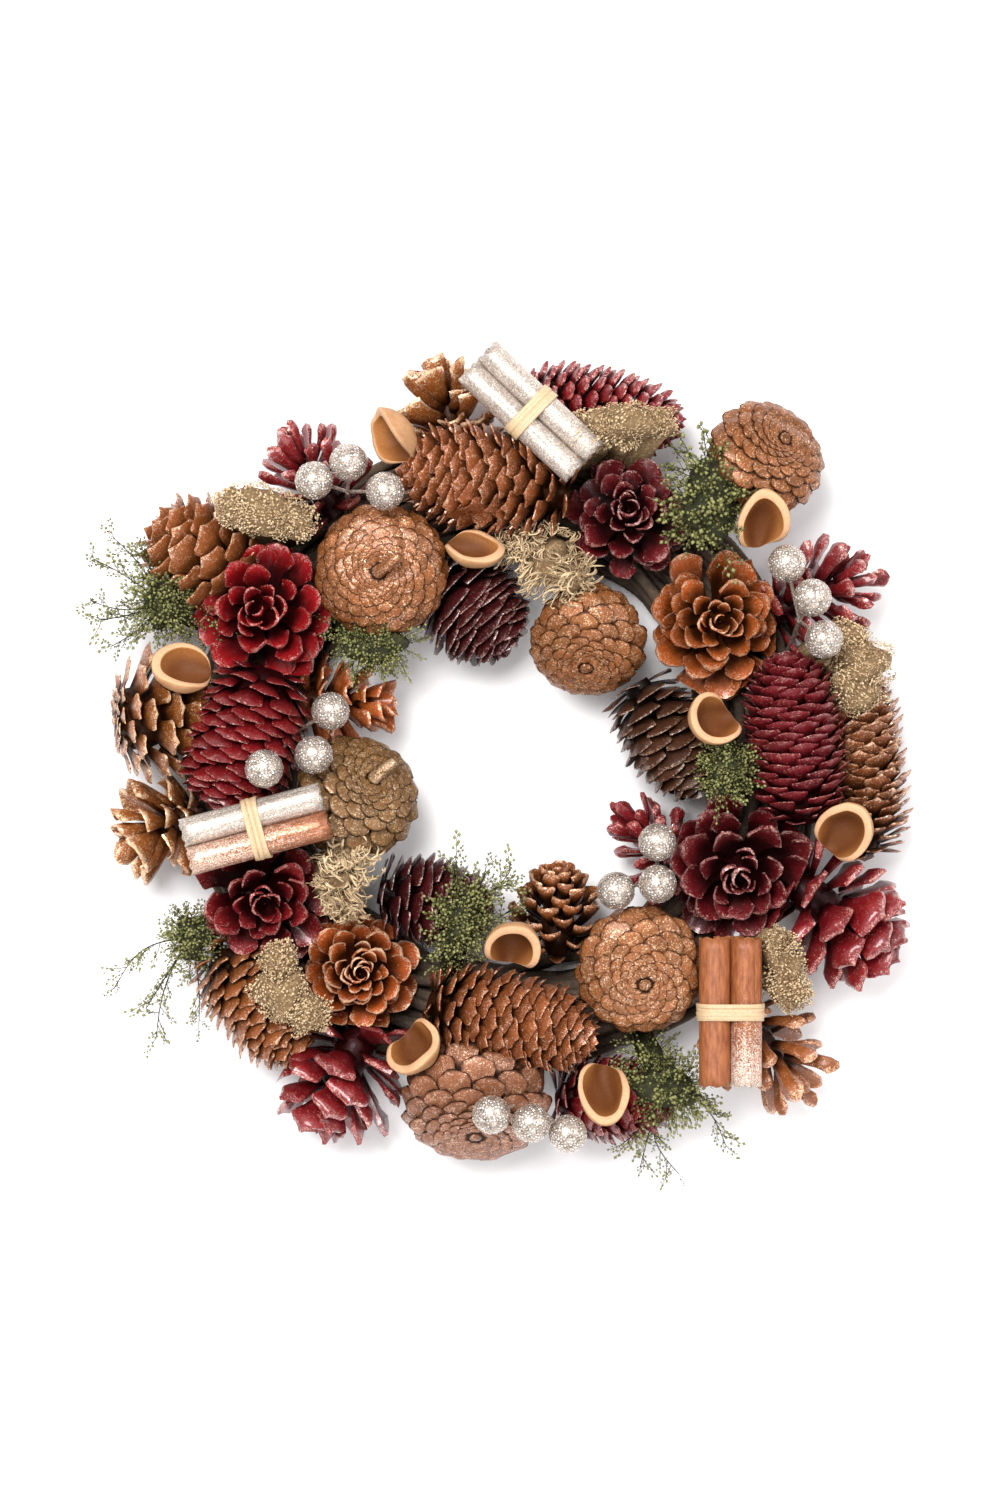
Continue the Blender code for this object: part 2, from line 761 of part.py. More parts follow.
def moss_root(moss):
    """The spot on the ring that a clump of moss is glued to."""
    out = Vector((moss.x, moss.y, 0)).normalized()
    reach = math.hypot(moss.x, moss.y) * MM
    reach = max(RING_RADIUS - MOSS_FOOT_REACH, min(RING_RADIUS + MOSS_FOOT_REACH, reach))
    return out * reach + Vector((0, 0, MOSS_FOOT_HEIGHT))


def moss_core_points(moss, share):
    """Points round the inner part of a clump and its foot."""
    turn = Matrix.Rotation(math.radians(moss.heading), 3, "Z")
    shape = bmesh.new()
    bmesh.ops.create_icosphere(shape, subdivisions=1, radius=1)
    half = Vector((moss.half_length, moss.half_width, moss.half_height)) * MM * share
    points = [moss_centre(moss) + turn @ (vertex.co * half) for vertex in shape.verts]
    shape.free()
    root = moss_root(moss)
    for side in range(3):
        angle = 2 * math.pi * side / 3
        points.append(root + Vector((math.cos(angle), math.sin(angle), 0)) * MOSS_FOOT_RADIUS)
    return points


def prong(start, way, length, radius):
    """A three-sided stem that narrows to its far end."""
    shape = bmesh.new()
    bmesh.ops.create_cone(
        shape, cap_ends=True, segments=3, radius1=radius, radius2=radius * PRONG_TAPER, depth=length
    )
    bmesh.ops.translate(shape, verts=shape.verts, vec=(0, 0, length / 2))
    turn = way.to_track_quat("Z", "Y").to_matrix().to_4x4()
    return helper("prong", shape, Matrix.Translation(start) @ turn)


def lichen_branches(moss, draw, radius):
    """Short branches that stand out of a clump on its upper side."""
    centre = moss_centre(moss)
    turn = Matrix.Rotation(math.radians(moss.heading), 3, "Z")
    half = Vector((moss.half_length, moss.half_width, moss.half_height)) * MM
    branches = []
    for number in range(moss.branches):
        rise = BRANCH_TOP - BRANCH_DROP * (number + 0.5) / moss.branches
        angle = number * GOLDEN_ANGLE + draw.uniform(-0.3, 0.3)
        side = math.sqrt(1 - rise * rise)
        way = Vector((side * math.cos(angle), side * math.sin(angle), rise))
        tip = centre + turn @ (way * half * BRANCH_TIP_SHARE)
        start = centre + (tip - centre) * BRANCH_START_SHARE
        reach = (tip - start).length
        branches.append(prong(start, tip - start, reach, radius))
    return branches


def cushion(moss, draw, radius):
    """A clump of moss: a small core on a foot in the ring, with branches all over its top."""
    core = helper("moss", grown_hull(moss_core_points(moss, MOSS_CORE_SHARE)))
    boolean(core, lichen_branches(moss, draw, radius), "UNION")
    return core


def moss_space(moss, gap):
    return grown_hull(moss_core_points(moss, MOSS_SPACE_SHARE), gap)


def sprig(start, way, length, draw):
    """A long thin stem with short side twigs, each standing forward of it."""
    tip = start + way * length
    pieces = [prong(start, tip - start, length, SPRIG_RADIUS)]
    for number in range(SPRIG_TWIGS):
        root = start + way * length * (TWIG_FIRST_SHARE + TWIG_STEP_SHARE * number)
        side = Vector((draw.uniform(-1, 1), draw.uniform(-1, 1), draw.uniform(-0.4, 1))).normalized()
        lean = (way + side * TWIG_LEAN).normalized()
        pieces.append(prong(root - lean * MM, lean, length * TWIG_LENGTH_SHARE, TWIG_RADIUS))
    return pieces


def spray(moss, fan, draw, guards):
    """A cushion of green moss with long sprigs that fan out, held clear of the cones."""
    core = cushion(moss, draw, SPRAY_BRANCH_RADIUS)
    centre = moss_centre(moss)
    sprigs = []
    for number in range(fan.sprigs):
        share = number / (fan.sprigs - 1) * 2 - 1
        wander = draw.uniform(-SPRIG_WANDER, SPRIG_WANDER)
        heading = math.radians(fan.heading + share * fan.spread + wander)
        rise = math.radians(draw.uniform(*fan.rise))
        flat = Vector((math.cos(heading), math.sin(heading), 0))
        way = flat * math.cos(rise) + Vector((0, 0, math.sin(rise)))
        length = fan.length * MM * draw.uniform(0.8, 1) * (1 - SPRIG_SIDE_LOSS * abs(share))
        sprigs += sprig(centre, way, length, draw)
    for piece in sprigs:
        boolean(piece, touching(piece, guards), "DIFFERENCE", keep=True)
    boolean(core, [piece for piece in sprigs if piece.data.polygons], "UNION")
    return core


def box(obj):
    points = world_points(obj)
    return [(min(p[axis] for p in points), max(p[axis] for p in points)) for axis in range(3)]


def touching(obj, others):
    """Those of the others whose boxes meet this object's box."""
    mine = box(obj)
    found = []
    for other in others:
        theirs = box(other)
        if all(a[0] < b[1] and b[0] < a[1] for a, b in zip(mine, theirs)):
            found.append(other)
    return found


def cone_body(cone, form):
    radius = cone.radius * CROWDING * MM
    length = cone.length * CROWDING * MM
    if isinstance(form, OpenForm):
        body = open_cone(form, radius, length)
    else:
        body = closed_cone(form, radius, length, cone.stem)
    roll = ROLL_STEP * cone.x
    body.matrix_world = pose(cone.x, cone.y, cone.z, cone.heading, cone.pitch, roll)
    return body


def hard_spaces():
    """The spaces of the balls, wires, pods, sticks and ties, which everything else keeps off."""
    spaces = []
    for spots in BALL_PICKS:
        spaces += pick_hulls(spots)
    for pod in PODS:
        obj = seed_pod(pod)
        spaces.append(helper("space", grown_hull(world_points(obj), GAP)))
        bpy.data.objects.remove(obj, do_unlink=True)
    for _, middle, heading, length, radius in BUNDLES.values():
        spaces.append(tie_band(middle, heading, radius, 2 * GAP, length * MM + 2 * GAP))
        spaces.append(tie_band(middle, heading, radius, 2 * GAP + TIE_THICKNESS, TIE_WIDTH + 2 * GAP))
    return spaces


def build_hard_pieces():
    for number, spots in enumerate(BALL_PICKS, 1):
        finish(ball_pick(spots), f"glitter_ball_pick_{number}", "glitter_silver", SHARP_ANGLE_BALL)
    for number, pod in enumerate(PODS, 1):
        finish(seed_pod(pod), f"seed_pod_{number}", "pod_tan")
    for place, (colour, middle, heading, length, radius) in BUNDLES.items():
        sticks = bundle(middle, heading, length, radius)
        finish(sticks, f"cinnamon_bundle_{place}", colour, SHARP_ANGLE_BUNDLE)
        finish(raffia_tie(middle, heading, radius), f"raffia_tie_{place}", "raffia")


def build_cones(spaces, ring_space):
    kinds = {
        "rosette_cone": (ROSETTE_CONES, ROSETTE),
        "shield_cone": (SHIELD_CONES, SHIELD),
        "long_cone": (LONG_CONES, LONG),
        "finger_cone": (FINGER_CONES, FINGER),
    }
    every = [cone for cones, _ in kinds.values() for cone in cones]
    built = []
    for kind, (cones, form) in kinds.items():
        for number, cone in enumerate(cones, 1):
            body = cone_body(cone, form)
            intersect(body, cell(cone, every))
            boolean(body, touching(body, spaces) + [ring_space], "DIFFERENCE", keep=True)
            keep_largest_body(body)
            finish(body, f"{kind}_{number}", cone.colour, SHARP_ANGLE_CONE)
            built.append(body)
    return built


def main():
    draw = random.Random(SEED)
    build_hard_pieces()
    hard = hard_spaces()
    ring_space = helper("ring_space", ring_shape(RING_GAP))
    inner_spaces = [helper("space", moss_space(moss, GAP)) for moss in LICHENS + INNER_GREENS]
    outer_spaces = [helper("space", moss_space(moss, GAP)) for moss, _ in OUTER_GREENS]
    cones = build_cones(hard + inner_spaces + outer_spaces, ring_space)

    ring = helper("vine_ring", ring_shape(0))
    cushions = [cushion(moss, draw, LICHEN_BRANCH_RADIUS) for moss in LICHENS]
    cushions += [cushion(moss, draw, GREEN_BRANCH_RADIUS) for moss in INNER_GREENS]
    boolean(ring, cushions, "UNION")
    boolean(ring, hard, "DIFFERENCE", keep=True)
    keep_largest_body(ring)
    finish(ring, "vine_ring", "vine")

    guards = [helper("guard", grown_hull(world_points(cone), GAP)) for cone in cones]
    for guard in guards:
        boolean(guard, touching(guard, outer_spaces), "DIFFERENCE", keep=True)
    for number, (moss, fan) in enumerate(OUTER_GREENS, 1):
        body = spray(moss, fan, draw, guards)
        boolean(body, touching(body, hard + inner_spaces) + [ring_space], "DIFFERENCE", keep=True)
        keep_largest_body(body)
        finish(body, f"moss_spray_{number}", "moss_green")

    for obj in list(HELPERS.objects):
        bpy.data.objects.remove(obj, do_unlink=True)


clear_scene()
WREATH = new_collection("pinecone_wreath")
HELPERS = new_collection("helpers")
main()
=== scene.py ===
"""Looks of the pinecone wreath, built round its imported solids.

The wreath lies on its flat back with its face up and its top along +Y. Headings are measured
from +X towards +Y, and pitches from the surface up. Tables give lengths in millimetres and
angles in degrees, and meshes are made in metres.
"""

import math
import random
from typing import NamedTuple

import bmesh
import bpy
import numpy as np
from mathutils import Matrix, Vector


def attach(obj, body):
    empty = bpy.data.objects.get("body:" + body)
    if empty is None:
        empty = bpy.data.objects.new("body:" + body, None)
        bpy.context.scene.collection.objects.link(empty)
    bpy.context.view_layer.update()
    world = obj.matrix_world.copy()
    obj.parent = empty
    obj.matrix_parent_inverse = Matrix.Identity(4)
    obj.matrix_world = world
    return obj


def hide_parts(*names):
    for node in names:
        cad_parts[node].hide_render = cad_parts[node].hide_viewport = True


bl_info = {
    "name": "Pinecone Wreath",
    "version": (1, 0, 0),
    "blender": (4, 5, 0),
    "location": "3D View > Sidebar > Wreath",
    "description": "Cones, pods, cinnamon, glitter balls and moss of a winter wreath",
    "category": "Add Mesh",
}

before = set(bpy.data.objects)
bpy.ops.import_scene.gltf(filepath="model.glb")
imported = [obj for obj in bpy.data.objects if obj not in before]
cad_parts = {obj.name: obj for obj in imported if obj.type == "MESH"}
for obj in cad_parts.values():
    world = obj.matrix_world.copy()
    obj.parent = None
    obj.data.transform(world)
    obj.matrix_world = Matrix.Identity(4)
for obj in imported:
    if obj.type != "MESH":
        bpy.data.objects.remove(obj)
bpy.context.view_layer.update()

MM = 0.001
GOLDEN_ANGLE = math.radians(137.508)
IMAGE_SIZE = (1000, 1500)
PIXEL = 0.44 * MM
PHOTO_MIDDLE = Vector((-1.3, 3.1, 40)) * MM
CAMERA_DISTANCE = 1.7
SENSOR = 36

# Half the width of the floor, in metres
FLOOR_HALF = 3
# Place and width of each soft lamp in metres, and its power
LAMPS = [
    ("key", (-0.45, 0.6, 1.85), 0.9, 50),
    ("fill", (1.4, 0.5, 1.3), 1.2, 14),
    ("front", (0.3, -1.5, 1.4), 1.0, 12),
]

# How far a scale may pass the wall between two cones, and how near it may come to the table
PRESS_MARGIN = 2.5 * MM
FLOOR_MARGIN = 0.6 * MM

# Length over radius of the long cones that the usual number of scales suits
USUAL_SLIMNESS = 3.7

# Edges of a scale that turn by more than this stay sharp
SHARP_EDGE = math.radians(48)

# A small grain with six corners
GRAIN = np.array([(1, 0, 0), (-1, 0, 0), (0, 1, 0), (0, -1, 0), (0, 0, 1), (0, 0, -1)])
GRAIN_FACES = [
    (0, 2, 4), (2, 1, 4), (1, 3, 4), (3, 0, 4), (2, 0, 5), (1, 2, 5), (3, 1, 5), (0, 3, 5),
]


class Cone(NamedTuple):
    """A cone whose tip points along its heading and pitch.

    Crowd multiplies its number of scales, and the coat stands in for the one named by its slot.
    """

    slot: str
    form: str
    x: float
    y: float
    z: float
    heading: float
    pitch: float
    radius: float
    length: float
    crowd: float = 1
    stem: float = 0
    coat: str = ""


class Pod(NamedTuple):
    """A scoop of husk. It faces along a heading and pitch, and its open end points another way."""

    x: float
    y: float
    z: float
    heading: float
    pitch: float
    open_way: float
    length: float
    width: float
    depth: float
    dip: float


class Moss(NamedTuple):
    """A cushion of moss or lichen, its half length along its heading."""

    x: float
    y: float
    z: float
    heading: float
    half_length: float
    half_width: float
    half_height: float


class Fan(NamedTuple):
    """How the long sprigs of a spray fan out."""

    sprigs: int
    heading: float
    spread: float
    rise: tuple
    length: float


class ScaleForm(NamedTuple):
    """A cone's scale: its half width and thickness along it, as shares of its length.

    The tip is how far its corners fall back, and blunt is 1 where it ends in a point and more
    where it is round. Cup raises its sides and curl its tip. The keel thins its outer face
    towards the sides, and the boss is a bump there. Fade is the power of the painted shade that
    darkens a scale towards its root; below 1 it keeps the root bright. A grooved scale has
    painted shade along its edges, where the grooves between scales are, instead of pale paint.
    """

    widths: tuple
    thicks: tuple
    tip: float
    blunt: float
    cup: float
    curl: float
    keel: float
    boss: float
    rows: int
    columns: int
    fade: float
    grooved: bool = False


class ConeForm(NamedTuple):
    """How the scales of a cone stand along their spiral, from its base to its tip.

    Seats, leans and sizes are pairs of a share of the spiral and a value. A seat is a distance
    from the axis and a size a scale's length, both as shares of the radius. A lean is a share of
    a right angle, from straight out towards the tip. Heights are shares of the length above the
    foot, or of the radius for a broad cone.
    """

    scale: str
    scales: int
    seats: tuple
    heights: tuple
    leans: tuple
    sizes: tuple
    foot: float
    broad: bool
    uneven: float


SCALE_FORMS = {
    # Spoon with a thick round lip
    "spoon": ScaleForm(
        ((0, 0.11), (0.35, 0.17), (0.6, 0.27), (0.8, 0.34), (1, 0.33)),
        ((0, 0.08), (0.6, 0.10), (0.86, 0.14), (1, 0.09)),
        0.24, 2.8, 0.50, 0.20, 0.3, 0.0, 9, 7, 1.9,
    ),
    # Long leaf-like scale, hollow inside, with a thin ragged edge
    "leaf": ScaleForm(
        ((0, 0.11), (0.4, 0.18), (0.65, 0.27), (0.85, 0.31), (1, 0.26)),
        ((0, 0.08), (0.5, 0.09), (0.85, 0.09), (1, 0.05)),
        0.24, 2.2, 0.60, 0.12, 0.4, 0.0, 7, 6, 0.55,
    ),
    # Narrow stalk that ends in a thick blunt knob
    "finger": ScaleForm(
        ((0, 0.12), (0.5, 0.14), (0.72, 0.17), (0.9, 0.21), (1, 0.15)),
        ((0, 0.10), (0.5, 0.12), (0.8, 0.17), (0.93, 0.19), (1, 0.13)),
        0.12, 1.8, 0.35, 0.16, 0.5, 0.03, 7, 5, 0.55,
    ),
    # Thick scale whose outer face is a lozenge with a ridge across it
    "lozenge": ScaleForm(
        ((0, 0.16), (0.35, 0.24), (0.6, 0.38), (0.74, 0.42), (0.88, 0.30), (1, 0.12)),
        ((0, 0.08), (0.5, 0.12), (0.72, 0.20), (0.85, 0.17), (1, 0.08)),
        0.14, 1.2, 0.10, 0.08, 0.9, 0.04, 7, 5, 0.6,
    ),
    # Wide thin scale with a rounded edge
    "fan": ScaleForm(
        ((0, 0.16), (0.4, 0.34), (0.7, 0.50), (0.9, 0.54), (1, 0.48)),
        ((0, 0.05), (0.5, 0.06), (0.88, 0.05), (1, 0.03)),
        0.24, 2.2, 0.20, 0.02, 0.4, 0.0, 6, 7, 0.9,
    ),
    # Scale whose thin pointed end stands off the cone
    "tile": ScaleForm(
        ((0, 0.24), (0.4, 0.36), (0.65, 0.45), (0.85, 0.42), (1, 0.24)),
        ((0, 0.06), (0.5, 0.10), (0.78, 0.11), (0.93, 0.07), (1, 0.035)),
        0.26, 1.5, 0.16, -0.03, 0.7, 0.02, 6, 5, 0.9,
    ),
    # Very wide thin scale that shows as an arc
    "arc": ScaleForm(
        ((0, 0.30), (0.4, 0.46), (0.65, 0.58), (0.85, 0.57), (1, 0.40)),
        ((0, 0.06), (0.5, 0.08), (0.78, 0.09), (0.93, 0.06), (1, 0.03)),
        0.20, 2.0, 0.20, -0.02, 0.6, 0.0, 6, 7, 0.9,
    ),
    # Thick tongue with a rounded end
    "tongue": ScaleForm(
        ((0, 0.30), (0.4, 0.38), (0.7, 0.38), (0.9, 0.26), (1, 0.12)),
        ((0, 0.20), (0.5, 0.30), (0.8, 0.26), (0.93, 0.18), (1, 0.08)),
        0.20, 1.4, 0.10, 0.14, 0.6, 0.0, 6, 5, 0.8,
    ),
    # Closed scale with a broad low shield
    "plate": ScaleForm(
        ((0, 0.34), (0.35, 0.44), (0.6, 0.52), (0.82, 0.49), (1, 0.32)),
        ((0, 0.06), (0.5, 0.10), (0.8, 0.12), (0.93, 0.09), (1, 0.05)),
        0.17, 1.6, 0.04, 0.0, 0.8, 0.03, 6, 6, 0.35, True,
    ),
}

CONE_FORMS = {
    "rosette": ConeForm(
        "spoon", 42,
        ((0, 0.34), (0.5, 0.28), (0.8, 0.18), (1, 0.06)),
        ((0, 0), (0.5, 0.22), (0.8, 0.40), (1, 0.50)),
        ((0, 0.00), (0.3, 0.14), (0.5, 0.28), (0.7, 0.45), (0.85, 0.58), (1, 0.74)),
        ((0, 0.78), (0.3, 0.82), (0.55, 0.70), (0.8, 0.50), (1, 0.32)),
        -0.40, False, 0.24,
    ),
    "leafy": ConeForm(
        "leaf", 30,
        ((0, 0.26), (0.6, 0.22), (1, 0.08)),
        ((0, 0), (1, 0.56)),
        ((0, -0.10), (0.3, 0.12), (0.6, 0.36), (0.85, 0.60), (1, 0.80)),
        ((0, 0.84), (0.4, 0.94), (0.8, 0.86), (1, 0.62)),
        -0.42, False, 0.26,
    ),
    "finger": ConeForm(
        "finger", 36,
        ((0, 0.28), (0.6, 0.24), (1, 0.08)),
        ((0, 0), (1, 0.62)),
        ((0, -0.10), (0.3, 0.12), (0.6, 0.36), (0.85, 0.60), (1, 0.80)),
        ((0, 0.78), (0.4, 0.88), (0.8, 0.80), (1, 0.62)),
        -0.42, False, 0.24,
    ),
    "lozenge": ConeForm(
        "lozenge", 56,
        ((0, 0.22), (0.2, 0.36), (0.7, 0.32), (1, 0.08)),
        ((0, 0), (1, 0.72)),
        ((0, -0.62), (0.15, -0.25), (0.35, 0.16), (0.75, 0.48), (1, 0.88)),
        ((0, 0.52), (0.3, 0.80), (0.8, 0.72), (1, 0.46)),
        -0.40, False, 0.14,
    ),
    "round": ConeForm(
        "spoon", 58,
        ((0, 0.24), (0.25, 0.42), (0.7, 0.34), (1, 0.08)),
        ((0, 0), (1, 0.72)),
        ((0, -0.25), (0.15, 0.0), (0.4, 0.30), (0.75, 0.52), (1, 0.86)),
        ((0, 0.46), (0.3, 0.66), (0.8, 0.56), (1, 0.36)),
        -0.40, False, 0.12,
    ),
    "fan": ConeForm(
        "fan", 84,
        ((0, 0.30), (0.3, 0.42), (0.7, 0.34), (1, 0.06)),
        ((0, 0), (1, 0.80)),
        ((0, 0.00), (0.2, 0.30), (0.4, 0.42), (0.75, 0.56), (1, 0.92)),
        ((0, 0.60), (0.4, 0.78), (0.8, 0.66), (1, 0.40)),
        -0.46, False, 0.08,
    ),
    "comb": ConeForm(
        "tongue", 140,
        ((0, 0.24), (0.1, 0.42), (0.3, 0.52), (0.7, 0.50), (0.9, 0.34), (1, 0.08)),
        ((0, 0), (1, 0.88)),
        ((0, -0.10), (0.1, 0.10), (0.3, 0.20), (0.7, 0.26), (0.9, 0.55), (1, 0.95)),
        ((0, 0.40), (0.1, 0.50), (0.7, 0.52), (0.9, 0.46), (1, 0.34)),
        -0.48, False, 0.06,
    ),
    "long": ConeForm(
        "tile", 150,
        (
            (0, 0.18), (0.05, 0.38), (0.12, 0.50), (0.3, 0.58), (0.7, 0.56), (0.86, 0.42),
            (1, 0.06),
        ),
        ((0, 0), (1, 0.90)),
        (
            (0, -0.20), (0.06, 0.12), (0.15, 0.36), (0.35, 0.50), (0.8, 0.60), (0.93, 0.76),
            (1, 0.98),
        ),
        ((0, 0.50), (0.1, 0.66), (0.3, 0.74), (0.7, 0.72), (0.9, 0.58), (1, 0.36)),
        -0.48, False, 0.08,
    ),
    "smooth": ConeForm(
        "arc", 150,
        (
            (0, 0.24), (0.05, 0.46), (0.12, 0.60), (0.3, 0.68), (0.75, 0.66), (0.88, 0.50),
            (1, 0.06),
        ),
        ((0, 0), (1, 0.88)),
        (
            (0, -0.05), (0.06, 0.22), (0.15, 0.40), (0.35, 0.49), (0.8, 0.57), (0.93, 0.74),
            (1, 0.98),
        ),
        ((0, 0.40), (0.1, 0.54), (0.3, 0.58), (0.7, 0.57), (0.9, 0.46), (1, 0.30)),
        -0.48, False, 0.08,
    ),
    "shield": ConeForm(
        "plate", 124,
        (
            (0, 0.09), (0.1, 0.125), (0.2, 0.17), (0.3, 0.23), (0.4, 0.30), (0.5, 0.40),
            (0.6, 0.53), (0.68, 0.65), (0.75, 0.74), (0.82, 0.79), (0.9, 0.77), (1, 0.68),
        ),
        (
            (0, 0), (0.3, 0.02), (0.5, 0.07), (0.6, 0.13), (0.68, 0.22), (0.75, 0.34),
            (0.82, 0.52), (0.9, 0.76), (1, 1.06),
        ),
        (
            (0, 0.00), (0.3, 0.02), (0.5, 0.11), (0.6, 0.23), (0.68, 0.40), (0.75, 0.60),
            (0.82, 0.80), (0.9, 0.95), (1, 1.08),
        ),
        (
            (0, 0.13), (0.2, 0.17), (0.4, 0.27), (0.5, 0.35), (0.6, 0.42), (0.7, 0.46),
            (0.8, 0.46), (1, 0.46),
        ),
        -0.44, True, 0.03,
    ),
    "basket": ConeForm(
        "tile", 88,
        ((0, 0.10), (0.15, 0.18), (0.3, 0.34), (0.45, 0.54), (0.6, 0.60), (0.8, 0.46), (1, 0.12)),
        ((0, 0), (0.3, 0.03), (0.45, 0.14), (0.6, 0.42), (0.8, 0.90), (1, 1.26)),
        ((0, 0.00), (0.3, 0.04), (0.45, 0.20), (0.6, 0.34), (0.8, 0.44), (1, 0.80)),
        ((0, 0.13), (0.3, 0.30), (0.45, 0.46), (0.6, 0.64), (0.8, 0.68), (1, 0.50)),
        -0.42, True, 0.10,
    ),
}

CONES = {
    "rosette_cone": [
        Cone("maroon", "rosette", 55, 107, 44, 90, 80, 24, 48),
        Cone("orange_brown", "rosette", 95, 59, 44, 0, 85, 28.5, 48, 1.2),
        Cone("maroon", "rosette", 104, -51, 44, -90, 75, 30, 48),
        Cone("toffee", "rosette", -63, -95, 44, 0, 85, 25.5, 48, 1.5),
        Cone("dark_red", "rosette", -105, -63, 44, -60, 75, 27, 48),
        Cone("crimson", "rosette", -106, 64, 44, 180, 85, 29, 48),
    ],
    "shield_cone": [
        Cone("copper", "shield", 113, 129, 38, 225, -50, 27, 50, 1.2, 0, "bronze"),
        Cone("gold_tan", "shield", 38, 55, 34, 85, -45, 26, 52),
        Cone("gold_tan", "shield", 60, -92, 45, 100, -70, 28.5, 46),
        Cone("pink_tan", "shield", -12, -148, 38, 90, -40, 33, 54),
        Cone("olive_gold", "shield", -67, -20, 35, 225, -50, 28, 54, 1, 10),
        Cone("copper", "shield", -53, 82, 45, 60, -85, 31, 46, 1.5, 13, "bronze"),
    ],
    "long_cone": [
        Cone("dark_red", "comb", 45, 153, 27, -10, 0, 20, 75),
        Cone("copper", "long", -7, 121, 46, 170, 0, 22, 76),
        Cone("crimson", "smooth", 128, 9, 45, 97, 4, 20, 81, 1, 0, "wine"),
        Cone("light_copper", "long", 158, -1, 27, 95, 0, 19, 88),
        Cone("dark_red", "long", 48, -152, 25, 0, 0, 18, 52),
        Cone("copper", "long", 3, -116, 44, -14, 0, 20, 77),
        Cone("brown", "long", -108, -108, 28, -50, 0, 20, 62),
        Cone("crimson", "smooth", -113, 8, 47, -110, 0, 24, 68, 1.1, 0, "ruby"),
    ],
    "finger_cone": [
        Cone("copper", "leafy", -25, 156, 28, 110, 10, 22, 52, 1, 0, "amber"),
        Cone("dark_red", "finger", 143, 74, 29, 24, 10, 24, 64),
        Cone("dark_brown", "fan", 73, 8, 28, -60, 0, 21, 62),
        Cone("dark_red", "finger", 67, -37, 27, 135, 10, 20, 56),
        Cone("dark_red", "lozenge", 147, -70, 32, -38, -6, 26, 64, 0.75),
        Cone("brown", "round", 24, -69, 28, 90, 15, 21, 46),
        Cone("brown", "finger", 119, -130, 28, -48, 0, 22, 58, 0.7),
        Cone("dark_red", "fan", -30, -64, 28, -10, 0, 20, 55, 1, 0, "plum"),
        Cone("dark_red", "lozenge", -71, -139, 30, -118, 5, 26, 54, 0.7),
        Cone("orange_brown", "leafy", -67, 25, 28, 0, 12, 20, 50),
        Cone("light_copper", "leafy", -152, -32, 28, 205, 12, 24, 48, 1.15, 0, "amber"),
        Cone("gold_tan", "basket", -150, 18, 36, 5, -12, 27, 50, 1, 0, "amber"),
        Cone("brown", "long", -128, 87, 28, 148, 0, 20, 54, 0.55),
        Cone("dark_red", "finger", -85, 125, 30, 122, 12, 22, 50),
        Cone("dark_red", "fan", -14, 66, 28, -45, 5, 24, 48, 1, 0, "plum"),
    ],
}

PODS = [
    Pod(113, 101, 63, -80, 72, -100, 31, 23, 13, 0),
    Pod(94, 18, 61, 45, 62, 15, 28, 25, 13, 1),
    Pod(147, -34, 58, -150, 66, -132, 32, 25, 13, 0),
    Pod(44, -144, 56, 95, 68, 92, 34, 23, 13, 0),
    Pod(4, -85, 59, -100, 62, -112, 28, 25, 14, 0),
    Pod(-41, -124, 59, 130, 50, 118, 30, 26, 13, 2),
    Pod(-138, 41, 62, 80, 52, 5, 29, 25, 13, 1),
    Pod(-53, 139, 57, 185, 24, -80, 27, 24, 15, 1),
    Pod(-12, 95, 60, 68, 42, 150, 29, 24, 13, 4),
]

BALL_RADIUS = 8.4
FLAKE_SIZE = 0.46
# Height of the foot where the wires of a pick enter the ring
PICK_FOOT = 22
# The three balls of each pick, then the foot of its wires on the ring
BALL_PICKS = [
    [(123, 84, 66), (134, 69, 67), (139, 51, 67), (126, 46)],
    [(67, -37, 62), (67, -55, 64), (49, -58, 62), (78, -60)],
    [(-5, -154, 76), (12, -158, 74), (28, -163, 68), (10, -134)],
    [(-75, 20, 60), (-82, 1, 66), (-103, -5, 74), (-94, 22)],
    [(-82, 120, 64), (-67, 128, 64), (-51, 115, 70), (-70, 108)],
]

# Middle, heading, length and stick radius of each bundle, and the finish of its three sticks
BUNDLES = {
    "top": ((12, 150, 62), -43.5, 64, 6.2, ("silver", "silver", "bark")),
    "right": ((99, -111, 58), 90, 64, 7, ("tipped", "bark", "bark")),
    "left": ((-107, -31, 68), 15, 62, 6.4, ("rose", "silver", "rose")),
}
BUNDLE_SLOTS = {"top": "cinnamon_silver", "right": "cinnamon", "left": "cinnamon_rose"}
# How far the sticks of a bundle press together, and how much thinner their quills are
STICK_PRESS = 0.2
STICK_GAP = 0.1

# Each lichen, and whether it is made of loose curly threads
LICHENS = [
    (Moss(53, 144, 56, 12, 25, 11, 12), False),
    (Moss(155, 40, 48, 90, 19, 15, 12), False),
    (Moss(124, -92, 52, 100, 20, 11, 11), False),
    (Moss(-94, -102, 54, 120, 20, 13, 11), False),
    (Moss(-67, -54, 50, 100, 19, 14, 11), True),
    (Moss(-105, 104, 56, 165, 22, 12, 11), False),
    (Moss(19, 84, 48, 150, 23, 18, 12), True),
]
INNER_GREENS = [
    Moss(91, 114, 50, 84, 36, 24, 14),
    Moss(98, -6, 52, 60, 20, 13, 11),
    Moss(-56, 48, 48, 10, 26, 13, 12),
]
# Each green spray, and its long sprigs
OUTER_GREENS = [
    (Moss(72, -145, 40, -10, 27, 17, 13), Fan(5, -75, 50, (-20, 4), 44)),
    (Moss(-18, -71, 48, 70, 20, 13, 13), Fan(5, 50, 40, (-10, 25), 36)),
    (Moss(-138, -80, 36, 100, 21, 11, 12), Fan(5, -110, 40, (-25, 0), 52)),
    (Moss(-150, 68, 38, 80, 21, 14, 13), Fan(6, 165, 60, (-20, 20), 41)),
]

